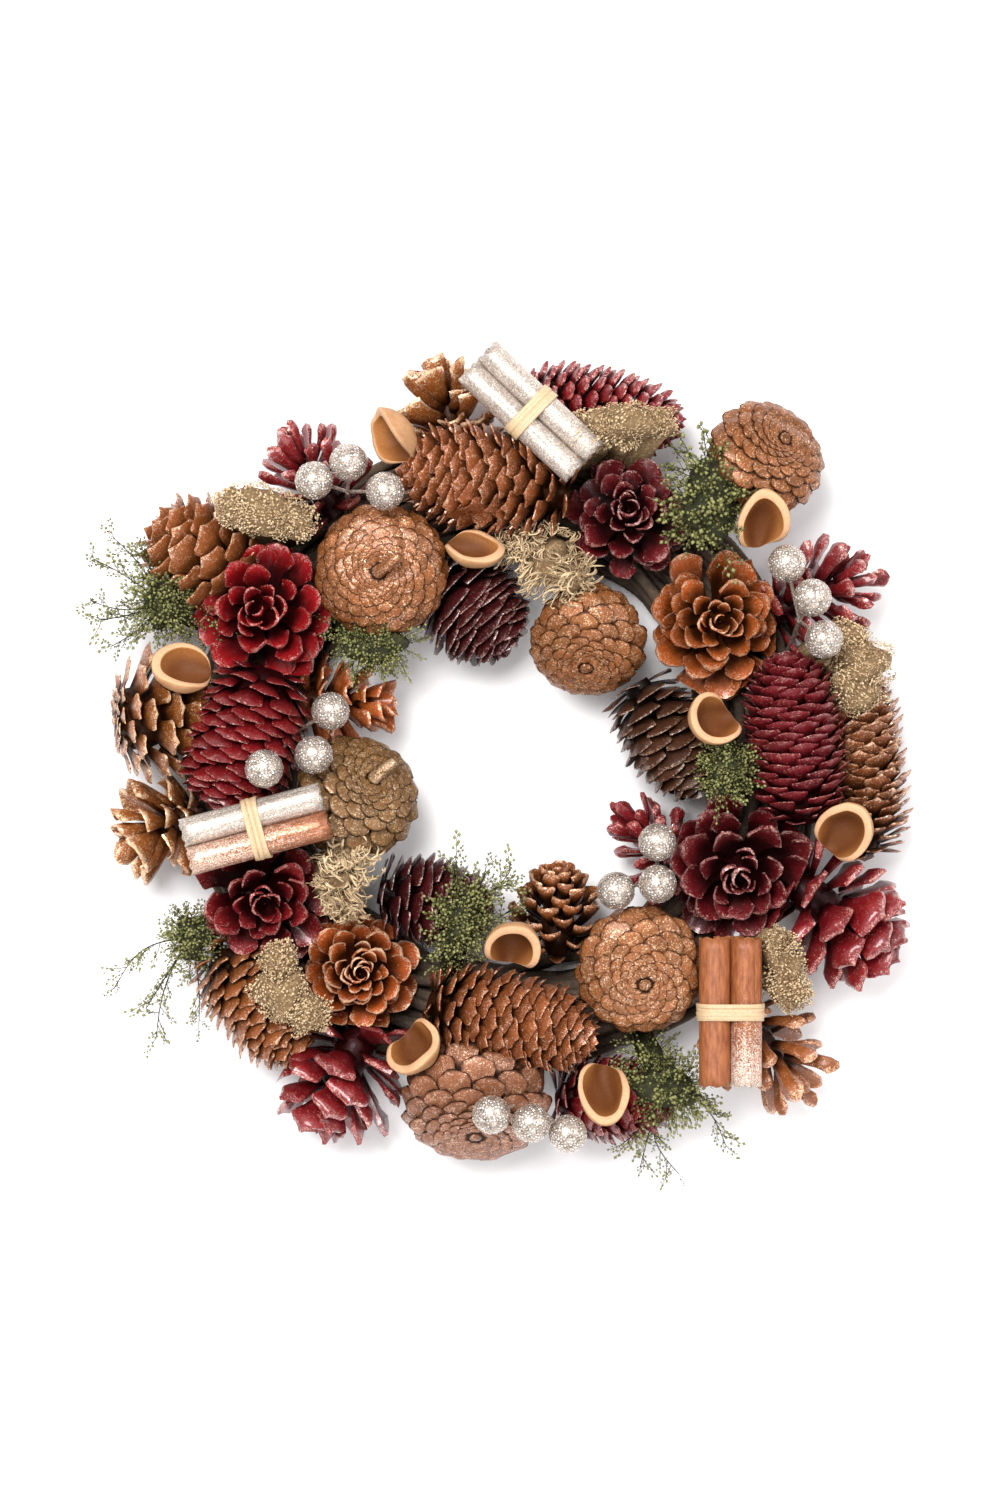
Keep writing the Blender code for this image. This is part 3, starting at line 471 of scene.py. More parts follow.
# Ring of bundled vine
RING_RADIUS = 117 * MM
RING_HALF_WIDTH = 27 * MM
VINE_RADIUS = 2.9 * MM
# Height on the ring where the cushions stand, and how far in and out they may
CUSHION_FOOT = 17
CUSHION_REACH = (101, 133)
# Number of vines in each layer, and its height
VINE_LAYERS = [(9, 3.4), (8, 8.6), (8, 13.8), (6, 18.8), (4, 22.6)]


class Coat(NamedTuple):
    """Colours of a cone and how it was finished.

    Hollow shade is the colour of the painted shade between its scales. Edge and dust are how
    much pale paint its scale edges and its scale faces took. Metal is the share of metal in its
    stain, and lacquer the strength of the clear coat over it.
    """

    body: str
    hollow_shade: str
    rim: str
    edge: float
    dust: float
    metal: float
    lacquer: float


COATS = {
    "crimson": Coat("#860A10", "#2A0405", "#D98E84", 0.45, 0.08, 0.0, 0.9),
    "ruby": Coat("#66070C", "#180203", "#CC7F76", 0.30, 0.12, 0.0, 0.8),
    "wine": Coat("#660F18", "#1A0404", "#B87068", 0.25, 0.22, 0.1, 0.5),
    "maroon": Coat("#5A0C12", "#1C0405", "#C48A84", 0.50, 0.12, 0.0, 0.9),
    "plum": Coat("#380809", "#120303", "#B08078", 0.40, 0.12, 0.0, 0.7),
    "dark_red": Coat("#700E14", "#220405", "#C47C74", 0.40, 0.20, 0.1, 0.6),
    "orange_brown": Coat("#9A4A1A", "#321606", "#E0AE88", 0.50, 0.20, 0.1, 0.5),
    "toffee": Coat("#9E4818", "#361406", "#EDC09A", 0.75, 0.14, 0.1, 0.5),
    "copper": Coat("#80431E", "#221006", "#DCA280", 0.34, 0.34, 0.3, 0.3),
    "bronze": Coat("#764219", "#221006", "#D89E74", 0.30, 0.38, 0.35, 0.2),
    "light_copper": Coat("#6E3A1A", "#241208", "#DDAA84", 0.40, 0.34, 0.25, 0.3),
    "gold_tan": Coat("#824C24", "#261206", "#DAAA82", 0.35, 0.42, 0.3, 0.15),
    "amber": Coat("#874A1A", "#281105", "#EAC49A", 0.75, 0.30, 0.2, 0.4),
    "olive_gold": Coat("#6E4C28", "#221507", "#CCA880", 0.35, 0.40, 0.3, 0.15),
    "pink_tan": Coat("#825034", "#261308", "#D4A88C", 0.35, 0.40, 0.25, 0.15),
    "brown": Coat("#80451D", "#1E0E06", "#DCA882", 0.45, 0.24, 0.15, 0.35),
    "dark_brown": Coat("#402314", "#120804", "#B08A70", 0.40, 0.08, 0.05, 0.3),
}

PLANT_COLOURS = {
    "pod_husk": "#C69A72", "raffia": "#D6BE9C", "green_moss": "#4A4A14", "lichen": "#C4A57C",
}

# Name, dark and light bark, grain of paint, its cover at the two ends, metal and roughness
BARKS = {
    "bark": ("cinnamon_bark", "#6E3518", "#A9663A", "#C9A08A", (-0.55, -0.35), 0.0, 0.55),
    "silver": ("silver_painted_bark", "#857468", "#A6978C", "#BCB0A6", (0.7, 0.7), 0.5, 0.4),
    "rose": (
        "rose_gold_painted_bark", "#7A4228", "#B07450", "#D0B2A0", (0.7, -0.05), 0.4, 0.32,
    ),
    "tipped": ("silver_tipped_bark", "#6E3518", "#A9663A", "#C8B4A6", (0.8, -0.8), 0.15, 0.45),
}


def srgb(code):
    """The linear colour, with alpha, of an sRGB hex value."""
    channels = [int(code[i : i + 2], 16) / 255 for i in (1, 3, 5)]
    spread = [c / 12.92 if c <= 0.04045 else ((c + 0.055) / 1.055) ** 2.4 for c in channels]
    return (*spread, 1.0)


# Nodes


def feed(tree, node, inputs):
    """Sets a node's inputs to values, or to the nodes or sockets that feed them."""
    for key, value in inputs.items():
        if isinstance(value, bpy.types.Node):
            value = next(socket for socket in value.outputs if socket.enabled)
        if isinstance(value, bpy.types.NodeSocket):
            tree.links.new(value, node.inputs[key])
        else:
            node.inputs[key].default_value = value


def adder(tree):
    """The function that adds a node to a tree, with its settings and links."""

    def add(kind, inputs=None, curve=None, **settings):
        made = tree.nodes.new(kind)
        for key, value in settings.items():
            setattr(made, key, value)
        feed(tree, made, inputs or {})
        if curve:
            made.mapping.use_clip = False
            line = made.mapping.curves[0]
            line.points[0].location = curve[0]
            line.points[1].location = curve[-1]
            for spot in curve[1:-1]:
                line.points.new(*spot)
            made.mapping.update()
        return made

    return add


def new_tree(name, sockets):
    """A geometry node tree with named inputs, its adder, and the sockets of its input node."""
    tree = bpy.data.node_groups.new(name, "GeometryNodeTree")
    tree.interface.new_socket("Geometry", in_out="INPUT", socket_type="NodeSocketGeometry")
    for label, kind in sockets.items():
        tree.interface.new_socket(label, in_out="INPUT", socket_type=f"NodeSocket{kind}")
    tree.interface.new_socket("Geometry", in_out="OUTPUT", socket_type="NodeSocketGeometry")
    return tree, adder(tree), tree.nodes.new("NodeGroupInput").outputs


def finish_tree(tree, geometry, given):
    """Makes the instances real, gives them the material and ends the tree."""
    add = adder(tree)
    real = add("GeometryNodeRealizeInstances", {0: geometry})
    coated = add("GeometryNodeSetMaterial", {0: real, "Material": given["Material"]})
    add("NodeGroupOutput", {0: coated})
    return tree


def finish_copies(tree, points, shape, turn, size, given):
    """Sets copies of a shape on points, gives each a tint of its own and ends the tree."""
    add = adder(tree)
    copies = add(
        "GeometryNodeInstanceOnPoints",
        {"Points": points, "Instance": shape, "Rotation": turn, "Scale": size},
    )
    tint = add("FunctionNodeRandomValue", {"Seed": given["Seed"]}, data_type="FLOAT")
    tinted = add(
        "GeometryNodeStoreNamedAttribute", {0: copies, "Name": "tint", "Value": tint},
        data_type="FLOAT", domain="INSTANCE",
    )
    return finish_tree(tree, tinted, given)


def new_material(name):
    """A material and its adder."""
    made = bpy.data.materials.new(name)
    made.use_nodes = True
    return made, adder(made.node_tree)


def finish_material(made, inputs):
    """Sets the inputs of a material's shader."""
    feed(made.node_tree, made.node_tree.nodes["Principled BSDF"], inputs)
    return made


# Meshes


class Gather:
    """Collects the parts of one mesh, with three numbers at each point for its material."""

    def __init__(self):
        self.points = []
        self.faces = []
        self.marks = []
        self.count = 0

    def add(self, points, faces, marks=(0, 0, 0)):
        points = np.asarray(points, float).reshape(-1, 3)
        self.points.append(points)
        self.faces += [[self.count + corner for corner in face] for face in faces]
        self.marks.append(np.broadcast_to(np.asarray(marks, float), points.shape))
        self.count += len(points)

    def mesh(self, name, edges=()):
        made = bpy.data.meshes.new(name)
        made.from_pydata(np.concatenate(self.points).tolist(), edges, self.faces)
        place = made.attributes.new("place", "FLOAT_VECTOR", "POINT")
        place.data.foreach_set("vector", np.concatenate(self.marks).astype(np.float32).ravel())
        made.shade_smooth()
        return made


def turned(matrix, points):
    """Points moved by a matrix."""
    matrix = np.array(matrix)
    return np.asarray(points, float) @ matrix[:3, :3].T + matrix[:3, 3]


def closed_rows(count, sides):
    """The corners of rows that each close into a ring."""
    return [list(range(row * sides, (row + 1) * sides)) for row in range(count)]


def between(near, far):
    """The faces between two closed rows of corners."""
    return list(zip(near, far, far[1:] + far[:1], near[1:] + near[:1]))


def tube(points, radii, sides=6, flat=1.0):
    """The points and faces of a closed tube along a path. Flat squeezes it across its rise."""
    points = np.asarray(points, float)
    radii = np.broadcast_to(np.asarray(radii, float), (len(points),))
    ways = np.gradient(points, axis=0)
    ways /= np.linalg.norm(ways, axis=1)[:, None]
    side = np.cross(ways[0], (0.0, 0.0, 1.0))
    if np.linalg.norm(side) < 0.05:
        side = np.cross(ways[0], (1.0, 0.0, 0.0))
    rings = []
    for way, point, radius in zip(ways, points, radii):
        side = side - way * side.dot(way)
        side /= np.linalg.norm(side)
        up = np.cross(side, way)
        for step in range(sides):
            angle = 2 * math.pi * step / sides
            rings.append(point + radius * (side * math.cos(angle) + up * math.sin(angle) * flat))
    rows = closed_rows(len(points), sides)
    faces = [face for pair in zip(rows, rows[1:]) for face in between(*pair)]
    return np.array(rings), [*faces, rows[0], rows[-1][::-1]]


def two_sided(rows, columns):
    """The faces of a closed leaf: a grid of points, the same grid under it, and its edge."""
    size = rows * columns
    faces = []
    for row in range(rows - 1):
        for column in range(columns - 1):
            a = row * columns + column
            quad = (a, a + columns, a + columns + 1, a + 1)
            faces.append(quad)
            faces.append(tuple(size + corner for corner in reversed(quad)))
    border = [row * columns for row in range(rows)]
    border += [(rows - 1) * columns + column for column in range(1, columns)]
    border += [row * columns + columns - 1 for row in range(rows - 2, -1, -1)]
    border += list(range(columns - 2, 0, -1))
    for here, after in zip(border, border[1:] + border[:1]):
        faces.append((here, size + here, size + after, after))
    return faces


def round_ball(divisions, radius):
    """The points and faces of a ball of even triangles."""
    shape = bmesh.new()
    bmesh.ops.create_icosphere(shape, subdivisions=divisions, radius=radius)
    points = np.array([vertex.co for vertex in shape.verts])
    faces = [[vertex.index for vertex in face.verts] for face in shape.faces]
    shape.free()
    return points, faces


def points_of(mesh):
    """The points of a mesh, one to a row."""
    points = np.empty(len(mesh.vertices) * 3, np.float32)
    mesh.vertices.foreach_get("co", points)
    return points.reshape(-1, 3).astype(float)


def set_points(mesh, points):
    """Moves the points of a mesh."""
    mesh.vertices.foreach_set("co", np.asarray(points, np.float32).ravel())
    mesh.update()


def mend_normals(mesh):
    """Turns the faces of a mesh outwards."""
    shape = bmesh.new()
    shape.from_mesh(mesh)
    bmesh.ops.recalc_face_normals(shape, faces=shape.faces)
    shape.to_mesh(mesh)
    shape.free()


def joined(name, meshes, material):
    """One mesh from several that share a material."""
    shape = bmesh.new()
    for mesh in meshes:
        shape.from_mesh(mesh)
    made = bpy.data.meshes.new(name)
    shape.to_mesh(made)
    shape.free()
    made.materials.clear()
    made.materials.append(material)
    made.polygons.foreach_set("material_index", [0] * len(made.polygons))
    made.shade_smooth()
    return made


def piece(name, mesh, slot, *nodes):
    """A finished object at the origin that stands for some solids and hides them. Its slot is not
    used.
    """
    obj = bpy.data.objects.new(name, mesh)
    mesh.name = name
    bpy.context.scene.collection.objects.link(obj)
    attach(obj, "root")
    if nodes:
        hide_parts(*nodes)
    return obj


def grow(mesh, tree, values):
    """The plain mesh that a node tree makes from a mesh, its inputs set by their names."""
    obj = bpy.data.objects.new("seedling", mesh)
    bpy.context.scene.collection.objects.link(obj)
    change = obj.modifiers.new("grow", "NODES")
    change.node_group = tree
    for item in tree.interface.items_tree:
        if item.item_type == "SOCKET" and item.in_out == "INPUT" and item.name in values:
            change[item.identifier] = values[item.name]
    graph = bpy.context.evaluated_depsgraph_get()
    grown = bpy.data.meshes.new_from_object(
        obj.evaluated_get(graph), preserve_all_data_layers=True, depsgraph=graph
    )
    obj.modifiers.remove(change)
    bpy.data.objects.remove(obj, do_unlink=True)
    return grown


def gnarled(points, size, depth, seed):
    """Soft uneven bumps, of about this size and depth, as things that grew have."""
    draw = np.random.default_rng(seed)
    for _ in range(5):
        waves = draw.normal(size=3) / size
        aside = draw.normal(size=3) * depth / 3
        points = points + np.outer(np.sin(points @ waves + draw.uniform(0, 6.3)), aside)
    return points


# Places. Pieces give way to their neighbours


def laid(spot, heading):
    """The place of a piece at a spot in millimetres, its own +X along the heading."""
    middle = Matrix.Translation(Vector(spot) * MM)
    return middle @ Matrix.Rotation(math.radians(heading), 4, "Z")


def pose(x, y, z, heading, pitch, roll=0):
    """The place of a piece whose own +Z points along the heading and pitch."""
    lean = Matrix.Rotation(math.radians(90 - pitch), 4, "Y")
    return laid((x, y, z), heading) @ lean @ Matrix.Rotation(math.radians(roll), 4, "Z")


def pod_place(pod):
    """The place of a pod whose open end, its own +X, points its open way as seen from above."""
    aside = math.radians(pod.open_way - pod.heading)
    rise = math.sin(math.radians(pod.pitch))
    roll = math.degrees(math.atan2(math.sin(aside), math.cos(aside) / rise))
    return pose(pod.x, pod.y, pod.z, pod.heading, pod.pitch, roll)


def stick_spots(radius):
    """Where three sticks lie across a bundle: two side by side and one under them."""
    apart = radius - STICK_PRESS
    return [(-apart, 0), (apart, 0), (0, -apart * math.sqrt(3))]


def stick_places(middle, heading, radius):
    """The places of the three sticks of a bundle."""
    centre = laid(middle, heading)
    spots = [Vector((0, *spot)) * MM for spot in stick_spots(radius)]
    return [centre @ Matrix.Translation(spot) for spot in spots]


def cone_spine(cone):
    """The ends of the middle line of the capsule that a cone fills."""
    way = pose(0, 0, 0, cone.heading, cone.pitch).to_3x3() @ Vector((0, 0, 1))
    middle = np.array((cone.x, cone.y, cone.z)) * MM
    half = np.array(way.normalized()) * max(cone.length / 2 - 0.9 * cone.radius, 0.01) * MM
    return middle - half, middle + half


def on_segment(point, ends):
    """The point of a segment that is nearest to a point."""
    along = ends[1] - ends[0]
    share = np.dot(point - ends[0], along) / np.dot(along, along)
    return ends[0] + along * min(max(share, 0), 1)


def walls(cone):
    """The walls between a cone and its neighbours: a point on each, and its outward way."""
    found = []
    for other in (other for cones in CONES.values() for other in cones):
        if other is cone:
            continue
        mine, theirs = cone_spine(cone), cone_spine(other)
        here = (mine[0] + mine[1]) / 2
        for _ in range(20):
            there = on_segment(here, theirs)
            here = on_segment(there, mine)
        gap = there - here
        apart = np.linalg.norm(gap)
        if apart > 1.5 * (cone.radius + other.radius) * MM:
            continue
        share = cone.radius / (cone.radius + other.radius)
        found.append((here + gap * share, gap / apart))
    return found


def pushed_out(points, place, halves, bar=False):
    """Moves points out of an ellipsoid, or out of a round bar along its own X."""
    halves = np.asarray(halves) * MM
    local = turned(np.linalg.inv(np.array(place)), points) / halves
    first = 1 if bar else 0
    reach = np.linalg.norm(local[:, first:], axis=1)
    within = (reach < 1) & (np.abs(local[:, 0]) < 1)
    local[within, first:] /= np.maximum(reach[within], 0.05)[:, None]
    return turned(place, local * halves)


def clear_of_hard_pieces(points):
    """Moves points out of the glitter balls, the pods and the cinnamon sticks."""
    for spots in BALL_PICKS:
        for spot in spots[:3]:
            points = pushed_out(points, laid(spot, 0), [BALL_RADIUS + 0.6] * 3)
    for pod in PODS:
        halves = (pod.length / 2 + 1, pod.width / 2 + 1, pod.depth + 1)
        points = pushed_out(points, pod_place(pod), halves)
    for middle, heading, length, radius, _ in BUNDLES.values():
        for place in stick_places(middle, heading, radius):
            halves = (length / 2 + 2, radius + 1, radius + 1)
            points = pushed_out(points, place, halves, bar=True)
    return points


def pressed(points, cone):
    """Scales bend where they meet a neighbour's wall, a hard piece or the table."""
    for wall, way in walls(cone):
        past = np.clip((points - wall) @ way, 0, None)
        points = points - np.outer(past - PRESS_MARGIN * np.tanh(past / PRESS_MARGIN), way)
    points = clear_of_hard_pieces(points)
    low = np.clip(2 * FLOOR_MARGIN - points[:, 2], 0, None)
    points[:, 2] += low - FLOOR_MARGIN * np.tanh(low / FLOOR_MARGIN)
    return points


# Cones


def scale_mesh(name):
    """One scale, a unit long: its root at the origin, its tip along +X, its inner face up."""
    form = SCALE_FORMS[name]
    along = np.linspace(0, 1, form.rows) ** 0.8
    across = np.sin(np.linspace(-math.pi / 2, math.pi / 2, form.columns))
    v, u = np.meshgrid(along, across, indexing="ij")
    width = np.interp(v, *zip(*form.widths))
    thick = np.interp(v, *zip(*form.thicks))
    x = v - form.tip * v**4 * np.abs(u) ** form.blunt
    y = width * u
    middle = form.curl * v**2 + form.cup * width * u**2
    upper = middle + 0.5 * thick * (1 - 0.5 * u**4)
    keel = (1 - form.keel * np.abs(u)) * (1 - 0.3 * u**4)
    boss = form.boss * np.exp(-(((v - 0.78) / 0.1) ** 2) - (u / 0.4) ** 2)
    lower = middle - 0.5 * thick * (0.3 + 0.7 * keel) - boss
    edge = np.clip((np.abs(u) - 0.72) / 0.28, 0, 1) * np.clip((v - 0.45) / 0.3, 0, 1)
    rim = np.maximum(edge, np.clip((v - 0.82) / 0.18, 0, 1))
    # The second mark is the share out of painted shade: a scale is painted darker towards its root,
    # where the scales over it shade it.
    height = v**form.fade
    # A grooved scale also takes painted shade along its sides and tip, where the grooves between
    # plates are, and no pale paint.
    if form.grooved:
        height = height * (1 - 0.85 * np.maximum(edge, np.clip((v - 0.84) / 0.16, 0, 1)))
        rim = rim * 0
    points = np.stack([np.stack([x, y, z], -1) for z in (upper, lower)])
    marks = np.stack([np.stack([u, height, rim], -1)] * 2)
    made = Gather()
    made.add(points, two_sided(form.rows, form.columns), marks.reshape(-1, 3))
    return made.mesh(name)


def cone_tree(name):
    """Sets a scale on a spiral round a cone's axis, from its base up to its tip."""
    form = CONE_FORMS[name]
    tree, add, given = new_tree(
        f"{name}_cone",
        {
            "Scales": "Int", "Radius": "Float", "Foot": "Float", "Rise": "Float",
            "Scale Size": "Float", "Unevenness": "Float", "Seed": "Int", "Material": "Material",
        },
    )
    line = add("GeometryNodeMeshLine", {"Count": given["Scales"]})
    index = add("GeometryNodeInputIndex")
    half_on = add("ShaderNodeMath", {0: index, 1: 0.5}, operation="ADD")
    share = add("ShaderNodeMath", {0: half_on, 1: given["Scales"]}, operation="DIVIDE")
    seat, climb, lean, size = [
        add("ShaderNodeFloatCurve", {"Value": share}, curve=curve)
        for curve in (form.seats, form.heights, form.leans, form.sizes)
    ]

    # Each scale is a little turned, tipped, twisted and longer than the next
    wander = add(
        "FunctionNodeRandomValue", {0: (-1, -1, -1), 1: (1, 1, 1), "Seed": given["Seed"]},
        data_type="FLOAT_VECTOR",
    )
    uneven = add(
        "ShaderNodeVectorMath", {0: wander, "Scale": given["Unevenness"]}, operation="SCALE"
    )
    turning, tipping, growing = add("ShaderNodeSeparateXYZ", {0: uneven}).outputs

    angle = add("ShaderNodeMath", {0: index, 1: GOLDEN_ANGLE, 2: turning}, operation="MULTIPLY_ADD")
    reach = add("ShaderNodeMath", {0: seat, 1: given["Radius"]}, operation="MULTIPLY")
    height = add(
        "ShaderNodeMath", {0: climb, 1: given["Rise"], 2: given["Foot"]}, operation="MULTIPLY_ADD"
    )
    outward = add("ShaderNodeCombineXYZ", {0: reach})
    round_axis = add(
        "ShaderNodeVectorRotate", {"Vector": outward, "Angle": angle}, rotation_type="Z_AXIS"
    )
    x, y, _ = add("ShaderNodeSeparateXYZ", {0: round_axis}).outputs
    seat_at = add("ShaderNodeCombineXYZ", {0: x, 1: y, 2: height})
    placed = add("GeometryNodeSetPosition", {0: line, "Position": seat_at})

    tipped = add("ShaderNodeMath", {0: lean, 1: -math.pi / 2, 2: tipping}, operation="MULTIPLY_ADD")
    twist = add("ShaderNodeMath", {0: growing, 1: 1.2}, operation="MULTIPLY")
    way = add("ShaderNodeCombineXYZ", {0: twist, 1: tipped, 2: angle})
    long = add("ShaderNodeMath", {0: size, 1: given["Scale Size"]}, operation="MULTIPLY")
    longer = add("ShaderNodeMath", {0: growing, 1: 0.9, 2: 1.0}, operation="MULTIPLY_ADD")
    length = add("ShaderNodeMath", {0: long, 1: longer}, operation="MULTIPLY")
    return finish_copies(tree, placed, given["Geometry"], way, length, given)


def core_mesh(cone, form, foot, rise):
    """The woody axis that the scales stand on, with its stem or the scar where that broke off."""
    shares = np.linspace(0, 1, 15)
    seats = np.interp(shares, *zip(*form.seats)) * (0.94 - 0.7 * shares**6)
    heights = np.interp(shares, *zip(*form.heights)) * rise + foot
    made = Gather()
    axis = [(0, 0, height) for height in heights]
    # With a second mark of 0.25 the core takes mostly the painted shade of the hollows; the stem
    # takes none of it.
    made.add(*tube(axis, seats * cone.radius * MM, 12), (0, 0.25, 0))
    if cone.stem:
        bend = cone.stem * MM
        stem = [
            (0, 0, foot + 3 * MM), (0, 0, foot - bend * 0.25), (0.3 * bend, 0, foot - bend * 0.5),
            (0.9 * bend, 0, foot - bend * 0.6),
        ]
        made.add(*tube(stem, np.array((3.2, 2.8, 2.5, 2.2)) * MM, 9), (0, 1, 0.95))
    elif form.broad:
        scar = [(0, 0, foot + height * MM) for height in (2, -0.4, -0.9)]
        made.add(*tube(scar, np.array((2.6, 2.6, 1.7)) * MM, 9), (0, 0.62, 0.3))
    return made.mesh("core")


def build_cone(node, cone, material, seed):
    """One cone: its scales on their core, gnarled, and bent where they meet their neighbours."""
    form = CONE_FORMS[cone.form]
    tree = bpy.data.node_groups.get(f"{cone.form}_cone") or cone_tree(cone.form)
    count = round(form.scales * cone.crowd * bpy.context.scene.wreath_sizes.scale_share)
    if cone.form in ("long", "smooth"):
        count = round(count * cone.length / cone.radius / USUAL_SLIMNESS)
    foot = form.foot * cone.length * MM
    rise = (cone.radius if form.broad else cone.length) * MM
    scales = grow(
        scale_mesh(form.scale), tree,
        {
            "Scales": count, "Radius": cone.radius * MM, "Foot": foot, "Rise": rise,
            "Scale Size": cone.radius * MM / math.sqrt(cone.crowd),
            "Unevenness": form.uneven, "Seed": seed, "Material": material,
        },
    )
    mesh = joined("cone", [scales, core_mesh(cone, form, foot, rise)], material)
    place = pose(cone.x, cone.y, cone.z, cone.heading, cone.pitch, 40 * cone.x + 165)
    points = gnarled(turned(place, points_of(mesh)), 2.5 * MM, 0.35 * MM, seed)
    set_points(mesh, pressed(points, cone))
    mesh.set_sharp_from_angle(angle=SHARP_EDGE)
    return piece(f"{node}_scales", mesh, cone.slot, node)


def cone_wood(name, coat, body):
    """Dyed or gilded pine wood: satin, with painted shade in its hollows, brushed pale at its scale
    tips.
    """
    made, add = new_material(f"{name}_pine_wood")
    place = add("ShaderNodeAttribute", attribute_name="place").outputs["Vector"]
    tint = add("ShaderNodeAttribute", attribute_name="tint").outputs["Fac"]
    object_place = add("ShaderNodeTexCoord").outputs["Object"]
    across, along, rim = add("ShaderNodeSeparateXYZ", {0: place}).outputs

    # Wood fibres run along each scale, about 0.6 mm apart on a scale 12 mm wide
    fibre_place = add("ShaderNodeCombineXYZ", {0: across, 1: along, 2: tint})
    fibre_size = add(
        "ShaderNodeVectorMath", {0: fibre_place, 1: (9, 1.6, 40)}, operation="MULTIPLY"
    )
    fibres = add("ShaderNodeTexNoise", {"Vector": fibre_size, "Scale": 1.0, "Detail": 3.0})
    # Patches about 4 mm across, of wear and of unevenness in the edge of the painted shade
    patches = add("ShaderNodeTexNoise", {"Vector": object_place, "Scale": 260.0, "Detail": 4.0})
    # Grit about 0.8 mm across
    grit = add("ShaderNodeTexNoise", {"Vector": object_place, "Scale": 1300.0, "Detail": 2.0})

    # Painted shade: each scale darkens to its hollow shade colour towards its root, where the
    # scales over it shade it
    depth = add("ShaderNodeMath", {0: patches, 1: 0.3, 2: along}, operation="MULTIPLY_ADD")
    out_of_shade = add(
        "ShaderNodeMapRange", {"Value": depth, 1: 0.30, 2: 0.95}, interpolation_type="SMOOTHSTEP"
    )
    wood = add("ShaderNodeMix", {0: out_of_shade, 6: srgb(coat.hollow_shade), 7: body}, data_type="RGBA")
    shade = add("ShaderNodeMath", {0: fibres, 1: 1.1, 2: 0.30}, operation="MULTIPLY_ADD")
    vary = add("ShaderNodeMath", {0: tint, 1: 0.35, 2: shade}, operation="MULTIPLY_ADD")
    grained = add("ShaderNodeHueSaturation", {"Color": wood, "Value": vary})

    # Pale paint lies as grains of about 0.5 mm, dense on the edges and loose on the faces
    grains = add("ShaderNodeTexVoronoi", {"Vector": object_place, "Scale": 2000.0}).outputs["Color"]
    chance, bright, _ = add("ShaderNodeSeparateColor", {0: grains}).outputs
    narrow = add("ShaderNodeMath", {0: rim, 1: 1.6}, operation="POWER")
    on_edges = add("ShaderNodeMath", {0: narrow, 1: coat.edge * 1.4}, operation="MULTIPLY")
    on_faces = add(
        "ShaderNodeMath", {0: out_of_shade, 1: coat.dust, 2: on_edges}, operation="MULTIPLY_ADD"
    )
    wear = add("ShaderNodeMapRange", {"Value": patches, 1: 0.35, 2: 0.65, 3: 0.4, 4: 1.3})
    painted = add("ShaderNodeMath", {0: on_faces, 1: wear}, operation="MULTIPLY")
    over = add("ShaderNodeMath", {0: painted, 1: chance}, operation="SUBTRACT")
    paint = add("ShaderNodeMapRange", {"Value": over, 1: 0.0, 2: 0.45, 4: 0.8})
    glint = add("ShaderNodeMapRange", {"Value": bright, 1: 0.72, 2: 1.0, 4: 0.9})
    pale = add("ShaderNodeMix", {0: glint, 6: srgb(coat.rim), 7: srgb("#FFEFDD")}, data_type="RGBA")
    final = add("ShaderNodeMix", {0: paint, 6: grained, 7: pale}, data_type="RGBA")
    gloss = add("ShaderNodeMapRange", {"Value": paint, 3: 0.34, 4: 0.22})
    rough = add("ShaderNodeMath", {0: grit, 1: 0.2, 2: gloss}, operation="MULTIPLY_ADD")
    metal = add("ShaderNodeMath", {0: paint, 1: 0.3, 2: coat.metal}, operation="MULTIPLY_ADD")
    relief = add("ShaderNodeMath", {0: fibres, 1: 0.6, 2: grit}, operation="MULTIPLY_ADD")
    bump = add("ShaderNodeBump", {"Strength": 0.6, "Distance": 0.35 * MM, "Height": relief})
    # Lacquer and specular gloss are turned down in the painted shade, so the hollows show no
    # reflections
    lacquer = add("ShaderNodeMapRange", {"Value": out_of_shade, 4: coat.lacquer})
    sheen_out_of_shade = add("ShaderNodeMapRange", {"Value": out_of_shade, 3: 0.1, 4: 0.4})
    return finish_material(
        made,
        {
            "Base Color": final, "Roughness": rough, "Metallic": metal, "Normal": bump,
            "Coat Weight": lacquer, "Specular IOR Level": sheen_out_of_shade, "Coat Roughness": 0.14,
        },
    )


# Seed pods


